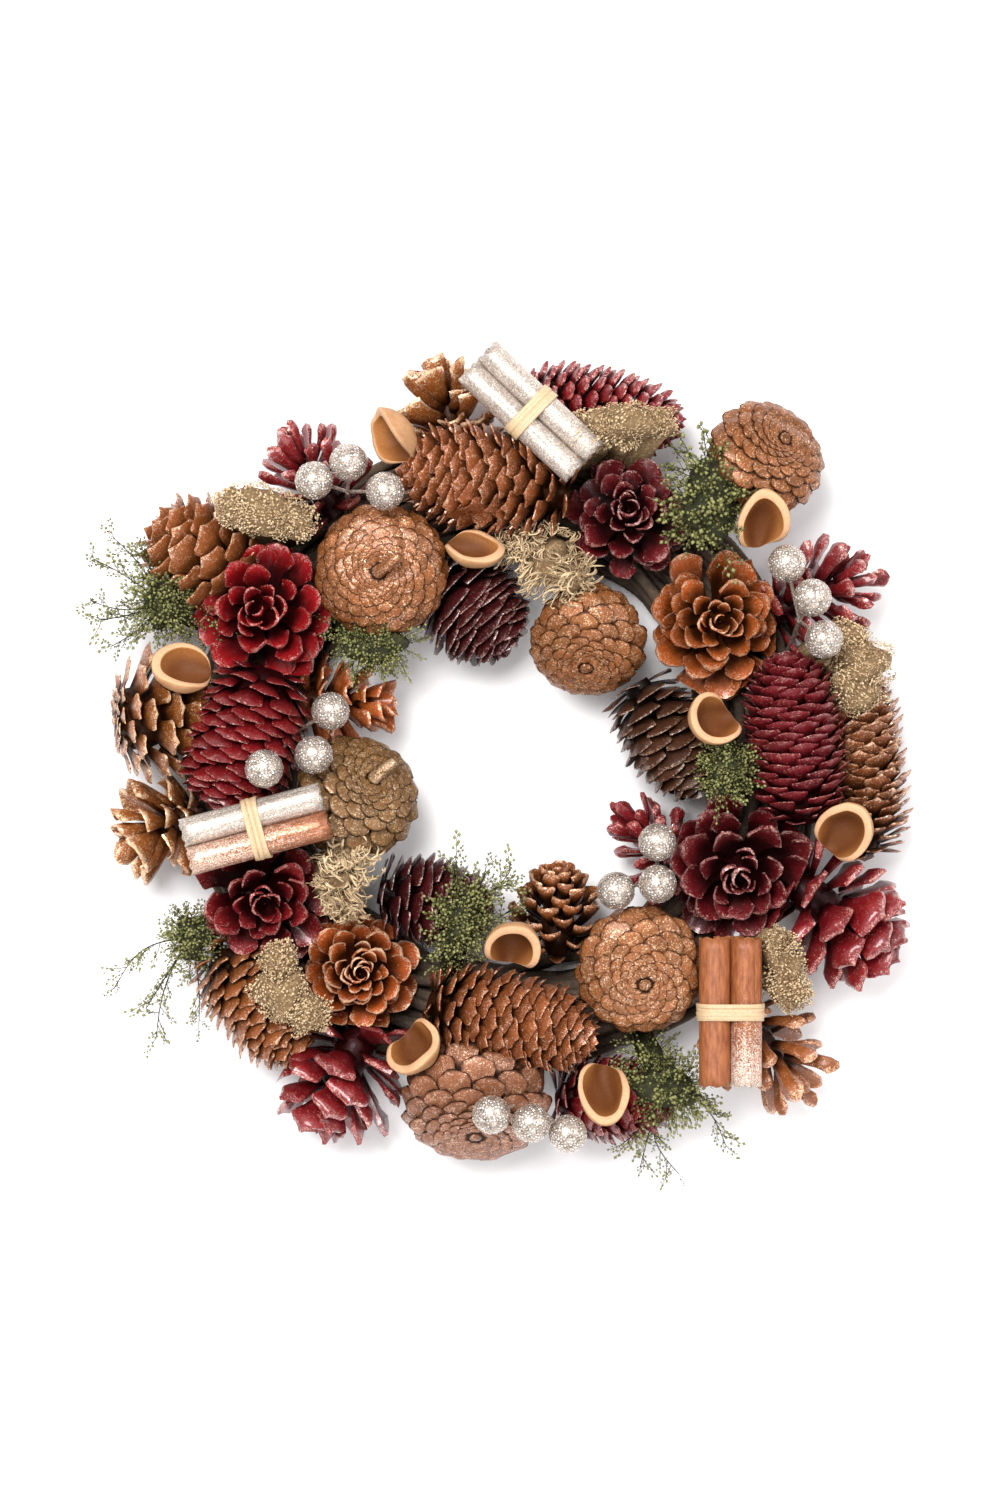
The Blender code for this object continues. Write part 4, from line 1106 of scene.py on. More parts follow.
def pod_mesh(pod, seed):
    """A scoop that opens along +Z: a thick horseshoe rim whose legs end at its open end."""
    draw = random.Random(seed)
    rings, sides = 12, 48
    wave, lean = draw.uniform(0, 6), draw.uniform(-0.25, 0.25)
    end_thick, leg_thick, floor_thick = draw.uniform(3.4, 4.4), draw.uniform(1.6, 2.2), 1.8
    angle = 2 * math.pi * np.arange(sides) / sides
    open_share = np.maximum(np.cos(angle - lean), 0) ** 2.6
    rim_thick = leg_thick + (end_thick - leg_thick) * (1 - np.cos(angle)) / 2
    down = math.pi / 2 * (1 - 0.66 * open_share) * (1 - np.arange(rings)[:, None] / rings)

    def wall(floor, thick):
        inset = floor + (thick - floor) * np.sin(down)
        out = np.sin(down) ** (1 - 0.68 * open_share)
        x = np.cos(angle) * out * (pod.length / 2 - inset * (1 - open_share))
        y = np.sin(angle) * out**0.85 * (pod.width / 2 - inset)
        y *= 1 - 0.16 * np.maximum(np.cos(angle), 0)
        z = -np.cos(down) * (pod.depth - inset)
        z += np.sin(down) ** 8 * (0.4 * np.sin(3 * angle + wave) - pod.dip * np.sin(angle) ** 2)
        rows = np.stack([x, y, z], -1).reshape(-1, 3)
        return np.concatenate([rows, [(0, 0, floor - pod.depth)]]) * MM

    outer, inner = wall(0, 0), wall(floor_thick, rim_thick)
    size = len(outer)
    rows = closed_rows(rings, sides)
    last = rows[-1]
    faces = [face for pair in zip(rows, rows[1:]) for face in between(*pair)]
    faces += [(here, size - 1, after) for here, after in zip(last, last[1:] + last[:1])]
    faces += [tuple(size + corner for corner in reversed(face)) for face in faces]
    # The cut rim: two rows between the walls, a little proud of them
    lip = [outer[:sides] * (1 - share) + inner[:sides] * share for share in (0.12, 0.88)]
    lip = np.concatenate(lip) + (0, 0, 0.35 * MM)
    starts = (0, 2 * size, 2 * size + sides, size)
    chain = [[start + corner for corner in rows[0]] for start in starts]
    faces += [face for near, far in zip(chain, chain[1:]) for face in between(far, near)]
    marks = []
    for wall_points, inside in ((outer, 0), (inner, 1)):
        # How deep a point lies sets the painted shade inside the scoop
        deep = np.clip(-wall_points[:, 2] / (pod.depth * MM), 0, 1)
        marks.append(np.stack([np.full(size, inside), deep, np.zeros(size)], -1))
    marks.append(np.tile((0.5, 0, 1), (2 * sides, 1)))
    made = Gather()
    made.add(np.concatenate([outer, inner, lip]), faces, np.concatenate(marks))
    mesh = made.mesh("pod")
    points = gnarled(points_of(mesh), 4 * MM, 0.5 * MM, seed)
    set_points(mesh, turned(pod_place(pod), points))
    mend_normals(mesh)
    return mesh


def pod_shell(outer_husk):
    """Dried woody seed husk: matt and fibrous, pale where its rim was cut, brown inside with
    painted shade towards the bottom.
    """
    made, add = new_material("dried_seed_husk")
    place = add("ShaderNodeAttribute", attribute_name="place").outputs["Vector"]
    object_place = add("ShaderNodeTexCoord").outputs["Object"]
    inside, deep, rim = add("ShaderNodeSeparateXYZ", {0: place}).outputs
    # Stains about 6 mm across, and fibres of about 1 mm
    stains = add("ShaderNodeTexNoise", {"Vector": object_place, "Scale": 160.0, "Detail": 5.0})
    fibres = add(
        "ShaderNodeTexNoise",
        {"Vector": object_place, "Scale": 900.0, "Detail": 4.0, "Roughness": 0.7},
    )
    outer = add("ShaderNodeMix", {0: stains, 6: outer_husk, 7: srgb("#9A6A42")}, data_type="RGBA")
    # Painted shade: the inside darkens towards the bottom of the scoop
    hollow_shade = add(
        "ShaderNodeMapRange", {"Value": deep, 1: 0.05, 2: 0.75}, interpolation_type="SMOOTHSTEP"
    )
    inner = add(
        "ShaderNodeMix", {0: hollow_shade, 6: srgb("#B0743F"), 7: srgb("#653818")}, data_type="RGBA"
    )
    is_inside = add("ShaderNodeMath", {0: inside, 1: 0.75}, operation="GREATER_THAN")
    shell = add("ShaderNodeMix", {0: is_inside, 6: outer, 7: inner}, data_type="RGBA")
    husk = add("ShaderNodeMix", {0: rim, 6: shell, 7: srgb("#CDA07A")}, data_type="RGBA")
    shade = add("ShaderNodeMapRange", {"Value": fibres, 1: 0.3, 2: 0.7, 3: 0.82, 4: 1.1})
    coloured = add("ShaderNodeHueSaturation", {"Color": husk, "Value": shade})
    bump = add("ShaderNodeBump", {"Strength": 0.5, "Distance": 0.3 * MM, "Height": fibres})
    return finish_material(
        made,
        {"Base Color": coloured, "Normal": bump, "Roughness": 0.6, "Specular IOR Level": 0.2},
    )


# Glitter balls, moss and lichen: small shapes set on seats that point a way


def tuft_tree():
    """Sets a small shape on each point, along the way that the point stores."""
    tree, add, given = new_tree(
        "tufts",
        {
            "Tuft": "Object", "Size": "Float", "Spread": "Float", "Tilt": "Float", "Seed": "Int",
            "Material": "Material",
        },
    )
    seed = given["Seed"]
    way = add("GeometryNodeInputNamedAttribute", {"Name": "place"}, data_type="FLOAT_VECTOR")
    wander = add(
        "FunctionNodeRandomValue", {0: (-1, -1, -1), 1: (1, 1, 1), "Seed": seed},
        data_type="FLOAT_VECTOR",
    )
    swing = add("ShaderNodeVectorMath", {0: wander, "Scale": given["Tilt"]}, operation="SCALE")
    leaning = add("ShaderNodeVectorMath", {0: way, 1: swing}, operation="ADD")
    upright = add("FunctionNodeAlignRotationToVector", {"Vector": leaning}, axis="Z")
    spin = add("FunctionNodeRandomValue", {2: 0.0, 3: 2 * math.pi, "Seed": seed}, data_type="FLOAT")
    about = add("ShaderNodeCombineXYZ", {2: spin})
    turn = add("FunctionNodeRotateRotation", {0: upright, 1: about}, rotation_space="LOCAL")
    draw = add("FunctionNodeRandomValue", {2: -1.0, 3: 1.0, "Seed": seed}, data_type="FLOAT")
    spread = add("ShaderNodeMath", {0: draw, 1: given["Spread"], 2: 1.0}, operation="MULTIPLY_ADD")
    size = add("ShaderNodeMath", {0: spread, 1: given["Size"]}, operation="MULTIPLY")
    shape = add("GeometryNodeObjectInfo", {"Object": given["Tuft"]}).outputs["Geometry"]
    return finish_copies(tree, given["Geometry"], shape, turn, size, given)


def tufts(seats, ways, shape, size, spread, tilt, seed, material):
    """The mesh of one small shape repeated on seats."""
    base = Gather()
    base.add(seats, [], ways)
    tree = bpy.data.node_groups.get("tufts") or tuft_tree()
    model = bpy.data.objects.new("tuft", shape)
    bpy.context.scene.collection.objects.link(model)
    mesh = grow(
        base.mesh("seats"), tree,
        {
            "Tuft": model, "Size": size, "Spread": spread, "Tilt": tilt, "Seed": seed,
            "Material": material,
        },
    )
    bpy.data.objects.remove(model, do_unlink=True)
    return mesh


def spread_ways(count, range_of_rise=2.0):
    """Evenly spread ways out of a ball, from its top down by a range of its height."""
    steps = np.arange(count) + 0.5
    rise = 1 - range_of_rise * steps / count
    angle = steps * GOLDEN_ANGLE
    flat = np.sqrt(1 - rise**2)
    return np.stack([flat * np.cos(angle), flat * np.sin(angle), rise], -1), angle


def flake_mesh():
    """A flat glitter flake with four corners and a slight rise in its middle."""
    made = Gather()
    corners = [(1, 0, 0), (0.1, 0.9, 0), (-0.9, 0.2, 0), (-0.1, -1, 0)]
    faces = [(i, (i + 1) % 4, 4) for i in range(4)] + [((i + 1) % 4, i, 5) for i in range(4)]
    made.add([*corners, (0, 0, 0.3), (0, 0, -0.3)], faces)
    mesh = made.mesh("flake")
    mesh.shade_flat()
    return mesh


def pick_mesh(spots, seed, material):
    """Three balls coated with flakes, on wires that meet in a hub and run on to the ring."""
    sizes = bpy.context.scene.wreath_sizes
    radius = sizes.ball_radius
    foot = np.array((*spots[3], PICK_FOOT)) * MM
    balls = [np.array(spot) * MM for spot in spots[:3]]
    hub = sum(balls) / 3 * 0.62 + foot * 0.38
    made = Gather()
    points, faces = round_ball(3, radius * 0.97)
    for ball in balls:
        made.add(points + ball, faces)
        wire = [ball, ball * 0.5 + hub * 0.5 - (0, 0, 0.6 * MM), hub]
        made.add(*tube(wire, 0.8 * MM, 8), (1, 0, 0))
    stem = [hub, (hub + foot) / 2 + (0.4 * MM, 0, 0), foot]
    made.add(*tube(stem, 1.1 * MM, 8), (1, 0, 0))
    ways, _ = spread_ways(sizes.ball_flakes)
    seats = np.concatenate([ball + ways * radius * 0.98 for ball in balls])
    glitter = tufts(
        seats, np.tile(ways, (3, 1)), flake_mesh(), FLAKE_SIZE * MM, 0.35, 0.35, seed, material
    )
    mesh = joined("pick", [made.mesh("balls"), glitter], material)
    mesh.set_sharp_from_angle(angle=math.radians(25))
    return mesh


def glitter_foil():
    """Champagne silver polyester glitter: bright metal flakes, each at its own tilt and tint."""
    made, add = new_material("champagne_glitter_foil")
    tint = add("ShaderNodeAttribute", attribute_name="tint").outputs["Fac"]
    object_place = add("ShaderNodeTexCoord").outputs["Object"]
    # Grains about 0.5 mm across
    cells = add("ShaderNodeTexVoronoi", {"Vector": object_place, "Scale": 2000.0}).outputs["Color"]
    hue, dullness, rise = add("ShaderNodeSeparateColor", {0: cells}).outputs
    mixed = add("ShaderNodeMath", {0: hue, 1: 0.4, 2: tint}, operation="MULTIPLY_ADD")
    colours = add("ShaderNodeValToRGB", {0: mixed})
    ramp = colours.color_ramp
    ramp.elements[0].color = srgb("#75685C")
    ramp.elements[1].color = srgb("#FFFBF6")
    for position, code in ((0.18, "#B3A498"), (0.5, "#DCD0C6"), (0.8, "#F6EFE8")):
        ramp.elements.new(position).color = srgb(code)
    rough = add("ShaderNodeMapRange", {"Value": dullness, 3: 0.22, 4: 0.5})
    bump = add("ShaderNodeBump", {"Strength": 0.5, "Distance": 0.3 * MM, "Height": rise})
    return finish_material(
        made, {"Base Color": colours, "Roughness": rough, "Normal": bump, "Metallic": 0.75}
    )


def cushion_seats(moss, count, inner, draw):
    """Seats through the upper part of a cushion, and the ways that its stems point."""
    ways, angle = spread_ways(count, 1.35)
    halves = np.array((moss.half_length, moss.half_width, moss.half_height)) * MM
    shares = np.array([draw.uniform(*inner) for _ in range(count)])[:, None]
    turn = np.array(Matrix.Rotation(math.radians(moss.heading), 3, "Z"))
    middle = np.array((moss.x, moss.y, moss.z)) * MM
    bulge = (1 + 0.14 * np.sin(5 * angle + moss.x))[:, None]
    seats = (ways * halves * shares * bulge) @ turn.T + middle
    aims = (ways / halves) @ turn.T
    aims /= np.linalg.norm(aims, axis=1)[:, None]
    return seats, aims


def green_tuft(draw):
    """A branching stem, a unit long, with small seed capsules along its outer half."""
    made = Gather()
    path = [(0, 0, 0), (0.03, 0.02, 0.35), (-0.02, 0.05, 0.7), (0.04, 0.02, 1.0)]
    made.add(*tube(path, (0.022, 0.018, 0.014, 0.008), 3))
    for number in range(7):
        height = 0.3 + 0.7 * number / 6
        angle = number * GOLDEN_ANGLE
        reach = draw.uniform(0.07, 0.2) * (1.25 - 0.6 * height)
        x, y = reach * math.cos(angle), reach * math.sin(angle)
        z = height + draw.uniform(0.02, 0.08)
        size = draw.uniform(0.05, 0.075)
        made.add(*tube([(0, 0, height - 0.05), (x, y, z)], (0.012, 0.007), 3), (0, 0.3, 0))
        capsule = GRAIN * size * (1, 1, 1.3) + (x, y, z)
        made.add(capsule, GRAIN_FACES, (1, height, 0))
    return made.mesh("green_tuft")


def lichen_tuft(draw):
    """A heap of round grains, about a unit high, that sit on the core of a cushion."""
    made = Gather()
    for _ in range(10):
        x, y, z = (0.72 * draw.uniform(-1, 1) for _ in range(3))
        size = draw.uniform(0.14, 0.21)
        made.add(GRAIN * size + (x, y, 0.2 + 0.6 * z), GRAIN_FACES, (0, 0.7 + 0.4 * z, 0))
    return made.mesh("lichen_tuft")


def curly_tuft(draw):
    """Loose threads, about a unit high, that wind as they rise."""
    made = Gather()
    share = np.linspace(0, 1, 6)
    for _ in range(5):
        start, turn = draw.uniform(0, 6.3), draw.uniform(2.5, 5)
        lean_x, lean_y = draw.uniform(-0.5, 0.5), draw.uniform(-0.5, 0.5)
        angle = start + turn * share
        sway = 0.22 * share**0.5
        x = lean_x * share + sway * np.cos(angle)
        y = lean_y * share + sway * np.sin(angle)
        path = np.stack([x, y, share * (1 - 0.25 * share)], -1)
        made.add(*tube(path, (0.05, 0.05, 0.046, 0.046, 0.042, 0.036), 3), (0, 0.8, 0))
    return made.mesh("curly_tuft")


def moss_fibre(name, dark, middle, pale, patch):
    """Dried moss or lichen: matt and fibrous, dark inside the cushion and pale at the tips."""
    made, add = new_material(name)
    place = add("ShaderNodeAttribute", attribute_name="place").outputs["Vector"]
    tint = add("ShaderNodeAttribute", attribute_name="tint").outputs["Fac"]
    object_place = add("ShaderNodeTexCoord").outputs["Object"]
    capsule, height, _ = add("ShaderNodeSeparateXYZ", {0: place}).outputs
    patches = add("ShaderNodeTexNoise", {"Vector": object_place, "Scale": patch, "Detail": 3.0})
    age = add("ShaderNodeMath", {0: tint, 1: 0.5, 2: patches}, operation="MULTIPLY_ADD")
    stem_age = add("ShaderNodeMapRange", {"Value": age, 1: 0.50, 2: 0.95})
    stem = add("ShaderNodeMix", {0: stem_age, 6: srgb(dark), 7: middle}, data_type="RGBA")
    seed_age = add("ShaderNodeMapRange", {"Value": age, 1: 0.50, 2: 1.00})
    seed = add("ShaderNodeMix", {0: seed_age, 6: middle, 7: srgb(pale)}, data_type="RGBA")
    tip = add("ShaderNodeMapRange", {"Value": height, 1: 0.35, 2: 1.0, 4: 0.75})
    most = add("ShaderNodeMath", {0: capsule, 1: tip}, operation="MAXIMUM")
    final = add("ShaderNodeMix", {0: most, 6: stem, 7: seed}, data_type="RGBA")
    return finish_material(made, {"Base Color": final, "Roughness": 0.85})


def cushion_foot(moss):
    """Where a cushion sits on the ring, in millimetres."""
    reach = float(np.clip(math.hypot(moss.x, moss.y), *CUSHION_REACH))
    return Vector((moss.x, moss.y, 0)).normalized() * reach + Vector((0, 0, CUSHION_FOOT))


def cushion_core(moss, bulk, tone):
    """The dense middle of a cushion, and its foot down to the ring."""
    made = Gather()
    points, faces = round_ball(3, 1)
    lumps = 1 + 0.12 * np.sin(4 * points[:, 0] + 3 * points[:, 1] + moss.y)
    halves = np.array((moss.half_length, moss.half_width, moss.half_height)) * bulk * MM
    place = laid((moss.x, moss.y, moss.z - 1), moss.heading)
    made.add(turned(place, points * halves * lumps[:, None]), faces, (0, tone, 0))
    foot = cushion_foot(moss) * MM
    middle = Vector((moss.x, moss.y, moss.z)) * MM
    path = [foot, foot.lerp(middle, 0.5), middle]
    made.add(*tube(path, (4.5 * MM, 6 * MM, 7 * MM), 7), (0, tone, 0))
    mesh = made.mesh("cushion")
    set_points(mesh, gnarled(points_of(mesh), 1.6 * MM, 0.5 * MM, 5))
    return mesh


def sprig_stems(moss, fan, draw):
    """The long stems of a spray, with the seats and ways of the twigs along them."""
    made = Gather()
    seats, ways = [], []
    middle = Vector((moss.x, moss.y, moss.z)) * MM
    for number in range(fan.sprigs):
        share = number / (fan.sprigs - 1) * 2 - 1
        heading = math.radians(fan.heading + share * fan.spread + draw.uniform(-8, 8))
        rise = math.radians(draw.uniform(*fan.rise))
        level = Vector((math.cos(heading), math.sin(heading), 0))
        way = level * math.cos(rise) + Vector((0, 0, math.sin(rise)))
        length = fan.length * MM * draw.uniform(0.8, 1.05) * (1 - 0.25 * abs(share))
        side = way.cross(Vector((0, 0, 1))) * draw.uniform(-0.22, 0.22)
        path = []
        for step in range(11):
            along = step / 10
            droop = Vector((0, 0, -0.10 * along**2))
            path.append(middle + (way * along + side * math.sin(math.pi * along) + droop) * length)
        for spot in path:
            spot.z = max(spot.z, 3 * MM)
        made.add(*tube(path, np.linspace(0.42, 0.2, 11) * MM, 5), (0, 0.4, 0))
        for step in range(13):
            along = (0.3 + 0.7 * step / 12) * 10
            spot = path[int(along)].lerp(path[min(int(along) + 1, 10)], along % 1)
            aside = Vector([draw.uniform(-1, 1) for _ in range(3)])
            seats.append(spot)
            ways.append((way * 0.75 + aside * 0.8).normalized())
    return made.mesh("stems"), np.array(seats), np.array(ways)


def green_mesh(moss, fan, seed, material):
    """A cushion of fine green twigs, its neck down to the ring, and the long sprigs of a spray."""
    draw = random.Random(seed)
    count = bpy.context.scene.wreath_sizes.green_tufts
    reach = 0.5 * (moss.half_width + moss.half_height) * MM
    seats, ways = cushion_seats(moss, count, (0.15, 0.62), draw)
    shape = green_tuft(draw)
    meshes = [
        cushion_core(moss, 0.54, 0.5),
        tufts(seats, ways, shape, 0.7 * reach, 0.35, 0.5, seed, material),
    ]
    foot = cushion_foot(moss)
    apart = math.hypot(moss.x - foot.x, moss.y - foot.y)
    if apart > 8:
        neck = Moss(
            (moss.x + foot.x) / 2, (moss.y + foot.y) / 2, (moss.z + foot.z) / 2 + 5,
            math.degrees(math.atan2(moss.y, moss.x)), apart / 2 + 4, 0.7 * moss.half_width, 9,
        )
        seats, ways = cushion_seats(neck, count // 3, (0.15, 0.7), draw)
        meshes.append(tufts(seats, ways, shape, 0.6 * reach, 0.35, 0.5, seed + 90, material))
    if fan:
        stems, seats, ways = sprig_stems(moss, fan, draw)
        twigs = tufts(seats, ways, green_tuft(draw), 8.5 * MM, 0.4, 0.2, seed, material)
        meshes += [stems, twigs]
    mesh = joined("green", meshes, material)
    points = clear_of_hard_pieces(points_of(mesh))
    points[:, 2] = np.maximum(points[:, 2], FLOOR_MARGIN)
    set_points(mesh, points)
    return mesh


def lobes(moss, draw):
    """Three uneven lobes along a cushion."""
    parts = []
    cosine, sine = (turn(math.radians(moss.heading)) for turn in (math.cos, math.sin))
    for share, bulk in ((-0.58, 0.62), (0.05, 0.80), (0.62, 0.52)):
        along = share * moss.half_length * draw.uniform(0.85, 1.1)
        aside = moss.half_width * draw.uniform(-0.3, 0.3)
        lobe = moss._replace(
            x=moss.x + along * cosine - aside * sine,
            y=moss.y + along * sine + aside * cosine,
            z=moss.z + draw.uniform(-1.5, 1.5),
            half_length=moss.half_length * bulk * 0.72,
            half_width=moss.half_width * bulk * 1.12,
            half_height=moss.half_height * (0.4 + 0.6 * bulk),
        )
        parts.append(lobe)
    return parts


def lichen_mesh(moss, curly, seed, material):
    """A lumpy cushion of grains, or of loose curly threads."""
    draw = random.Random(seed)
    count = bpy.context.scene.wreath_sizes.lichen_tufts // 3
    # How deep the tufts sit, how many seats go to one of them, their size and tilt, and the core
    inner, every, size, tilt, bulk = (
        ((0.55, 0.85), 2, 7 * MM, 0.9, 0.55) if curly else ((0.90, 1.0), 1, 2.5 * MM, 0.3, 0.93)
    )
    meshes = []
    for part in lobes(moss, draw):
        seats, ways = cushion_seats(part, count, inner, draw)
        shape = curly_tuft(draw) if curly else lichen_tuft(draw)
        meshes.append(cushion_core(part, bulk, 0.45))
        number = seed + len(meshes)
        meshes.append(
            tufts(seats[::every], ways[::every], shape, size, 0.3, tilt, number, material)
        )
    mesh = joined("lichen", meshes, material)
    lumpy = gnarled(points_of(mesh), 4 * MM, 2.2 * MM, seed)
    set_points(mesh, clear_of_hard_pieces(lumpy))
    return mesh


# Cinnamon and raffia


def quill_mesh(place, radius, length, draw):
    """A quill of bark, rolled up from both edges, with rough broken ends."""
    thick = bpy.context.scene.wreath_sizes.bark_thickness
    steps, rows = 44, 15
    turns = draw.uniform(1.5, 1.62)
    start = draw.uniform(0, 2 * math.pi)
    waves = [(draw.uniform(0.5, 1.2), draw.uniform(0, 6)) for _ in range(3)]
    share = np.linspace(-1, 1, steps)
    along = np.linspace(0, 1, rows)[:, None]
    angle = start + share * math.pi * turns
    # The last part of each edge rolls in towards the axis
    curl = np.maximum(np.abs(share) - 0.58, 0) / 0.42
    reach = radius - thick / 2 - curl**1.1 * radius * 0.52
    ripple = sum(a * np.sin(5 * along + b + 3 * angle) for a, b in waves) * 0.08 * MM
    x = (along - 0.5) * length + np.zeros(steps)
    ragged = 0.5 * MM * np.sin(7 * angle + waves[0][1])
    x[0] -= ragged
    x[-1] += ragged
    points, marks = [], []
    for inside in (1, 0):
        r = reach + (0.5 - inside) * thick + ripple
        points.append(np.stack([x, r * np.cos(angle), r * np.sin(angle)], -1))
        marks.append(np.stack(np.broadcast_arrays(angle / math.pi, along, inside), -1))
    made = Gather()
    made.add(
        turned(place, np.array(points).reshape(-1, 3)), two_sided(rows, steps),
        np.array(marks).reshape(-1, 3),
    )
    mesh = made.mesh("quill")
    mend_normals(mesh)
    return mesh


def bark(name, low, high, grain, paint, metal, rough):
    """Cinnamon bark: fine streaks along the stick, and grains of metal paint.

    The paint covers it by the first share at one end and by the second at the other.
    """
    made, add = new_material(name)
    place = add("ShaderNodeAttribute", attribute_name="place").outputs["Vector"]
    object_place = add("ShaderNodeTexCoord").outputs["Object"]
    # Streaks about 0.7 mm wide and 12 mm long, and grit of about 0.7 mm
    streak_place = add("ShaderNodeVectorMath", {0: place, 1: (9, 5, 4)}, operation="MULTIPLY")
    streaks = add(
        "ShaderNodeTexNoise",
        {"Vector": streak_place, "Scale": 1.6, "Detail": 6.0, "Roughness": 0.65},
    )
    grit = add("ShaderNodeTexNoise", {"Vector": object_place, "Scale": 1500.0, "Detail": 2.0})
    tone = add("ShaderNodeMapRange", {"Value": streaks, 1: 0.3, 2: 0.7})
    colour = add("ShaderNodeMix", {0: tone, 6: srgb(low), 7: srgb(high)}, data_type="RGBA")
    # Grains of metal paint about 0.4 mm across
    cells = add("ShaderNodeTexVoronoi", {"Vector": object_place, "Scale": 2600.0}).outputs["Color"]
    chance, bright, _ = add("ShaderNodeSeparateColor", {0: cells}).outputs
    _, along, inside = add("ShaderNodeSeparateXYZ", {0: place}).outputs
    bare = add("ShaderNodeMix", {0: inside, 6: colour, 7: srgb("#A8683C")}, data_type="RGBA")
    fade = add("ShaderNodeMapRange", {"Value": along, 3: paint[0], 4: paint[1]})
    thin = add("ShaderNodeMath", {0: streaks, 1: 0.9, 2: fade}, operation="MULTIPLY_ADD")
    over = add("ShaderNodeMath", {0: thin, 1: chance}, operation="SUBTRACT")
    covered = add("ShaderNodeMapRange", {"Value": over, 1: 0.25, 2: 0.65})
    spark = add("ShaderNodeMapRange", {"Value": bright, 1: 0.7, 2: 1.0})
    glint = add("ShaderNodeMix", {0: spark, 6: srgb(grain), 7: srgb("#FFF4E6")}, data_type="RGBA")
    final = add("ShaderNodeMix", {0: covered, 6: bare, 7: glint}, data_type="RGBA")
    relief = add("ShaderNodeMath", {0: grit, 1: 0.5, 2: streaks}, operation="MULTIPLY_ADD")
    bump = add("ShaderNodeBump", {"Strength": 0.6, "Distance": 0.35 * MM, "Height": relief})
    return finish_material(
        made, {"Base Color": final, "Normal": bump, "Roughness": rough, "Metallic": metal}
    )


def strand_loop(points, half_width, half_thick, along):
    """A closed flat loop: its width lies along the sticks, its thickness across them."""
    ways = np.roll(points, -1, axis=0) - np.roll(points, 1, axis=0)
    ways /= np.linalg.norm(ways, axis=1)[:, None]
    out = np.cross(along, ways)
    out /= np.linalg.norm(out, axis=1)[:, None]
    profile = [
        (-1, -0.5), (-0.6, -1), (0.6, -1), (1, -0.5), (1, 0.5), (0.6, 1), (-0.6, 1), (-1, 0.5),
    ]
    edges = [points + along * a * half_width + out * b * half_thick for a, b in profile]
    rows = closed_rows(len(points), len(profile))
    faces = [face for pair in zip(rows, rows[1:] + rows[:1]) for face in between(*pair)]
    return np.stack(edges, 1), faces


def tie_mesh(middle, heading, radius, seed):
    """Strands wound round a bundle side by side, and a knot over the groove of its sticks."""
    draw = random.Random(seed)
    centre = laid(middle, heading)
    around = 2 * math.pi * np.arange(72) / 72
    outs = np.stack([np.cos(around), np.sin(around)], -1)
    # A taut belt touches the stick, or the two, that reach furthest out in each way
    spots = np.array(stick_spots(radius))
    reach = outs @ spots.T
    touched = (reach > reach.max(axis=1)[:, None] - 1e-6).astype(float)
    belt = touched @ spots / touched.sum(axis=1)[:, None]
    made = Gather()
    for number in range(6):
        shift = -2.9 + 1.15 * number + draw.uniform(-0.2, 0.2)
        lean = draw.uniform(-0.8, 0.8)
        gap = 0.55 + 0.16 * (number % 3)
        path = np.column_stack([shift + lean * np.sin(around), belt + outs * (radius + gap)])
        loop = strand_loop(
            turned(centre, path * MM), 0.95 * MM, 0.32 * MM, np.array(centre)[:3, 0]
        )
        made.add(*loop, (number / 6, 0, 0))
    top = radius * 0.62
    share = np.linspace(0, 1, 9)
    bow = np.sin(math.pi * share)
    for side in (-1, 1):
        path = np.stack([side * (1.8 * bow + 0.4), (share - 0.5) * 9, top + 1.6 + 1.2 * bow], -1)
        made.add(*tube(turned(centre, path * MM), 0.8 * MM, 8, 0.5), (side * 0.5, 0, 0))
    mesh = made.mesh("tie")
    mend_normals(mesh)
    return mesh


def raffia_leaf(straw):
    """Dried raffia palm leaf: pale straw with fine fibres along it and a faint gloss."""
    made, add = new_material("dried_raffia_leaf")
    object_place = add("ShaderNodeTexCoord").outputs["Object"]
    # Fibres about 0.9 mm apart
    fibres = add("ShaderNodeTexNoise", {"Vector": object_place, "Scale": 1100.0, "Detail": 4.0})
    colour = add("ShaderNodeMix", {0: fibres, 6: srgb("#A8865C"), 7: straw}, data_type="RGBA")
    bump = add("ShaderNodeBump", {"Strength": 0.4, "Distance": 0.2 * MM, "Height": fibres})
    return finish_material(made, {"Base Color": colour, "Normal": bump, "Roughness": 0.5})


# Ring


def vine_tree():
    """Turns the edges of a mesh into round vines of the radius that each point stores."""
    tree, add, given = new_tree("vines", {"Sides": "Int", "Material": "Material"})
    line = add("GeometryNodeMeshToCurve", {0: given["Geometry"]})
    place = add("GeometryNodeInputNamedAttribute", {"Name": "place"}, data_type="FLOAT_VECTOR")
    radius = add("ShaderNodeSeparateXYZ", {0: place}).outputs[0]
    profile = add("GeometryNodeCurvePrimitiveCircle", {"Resolution": given["Sides"], "Radius": 1.0})
    round_vine = add("GeometryNodeCurveToMesh", {0: line, 1: profile, "Scale": radius})
    return finish_tree(tree, round_vine, given)


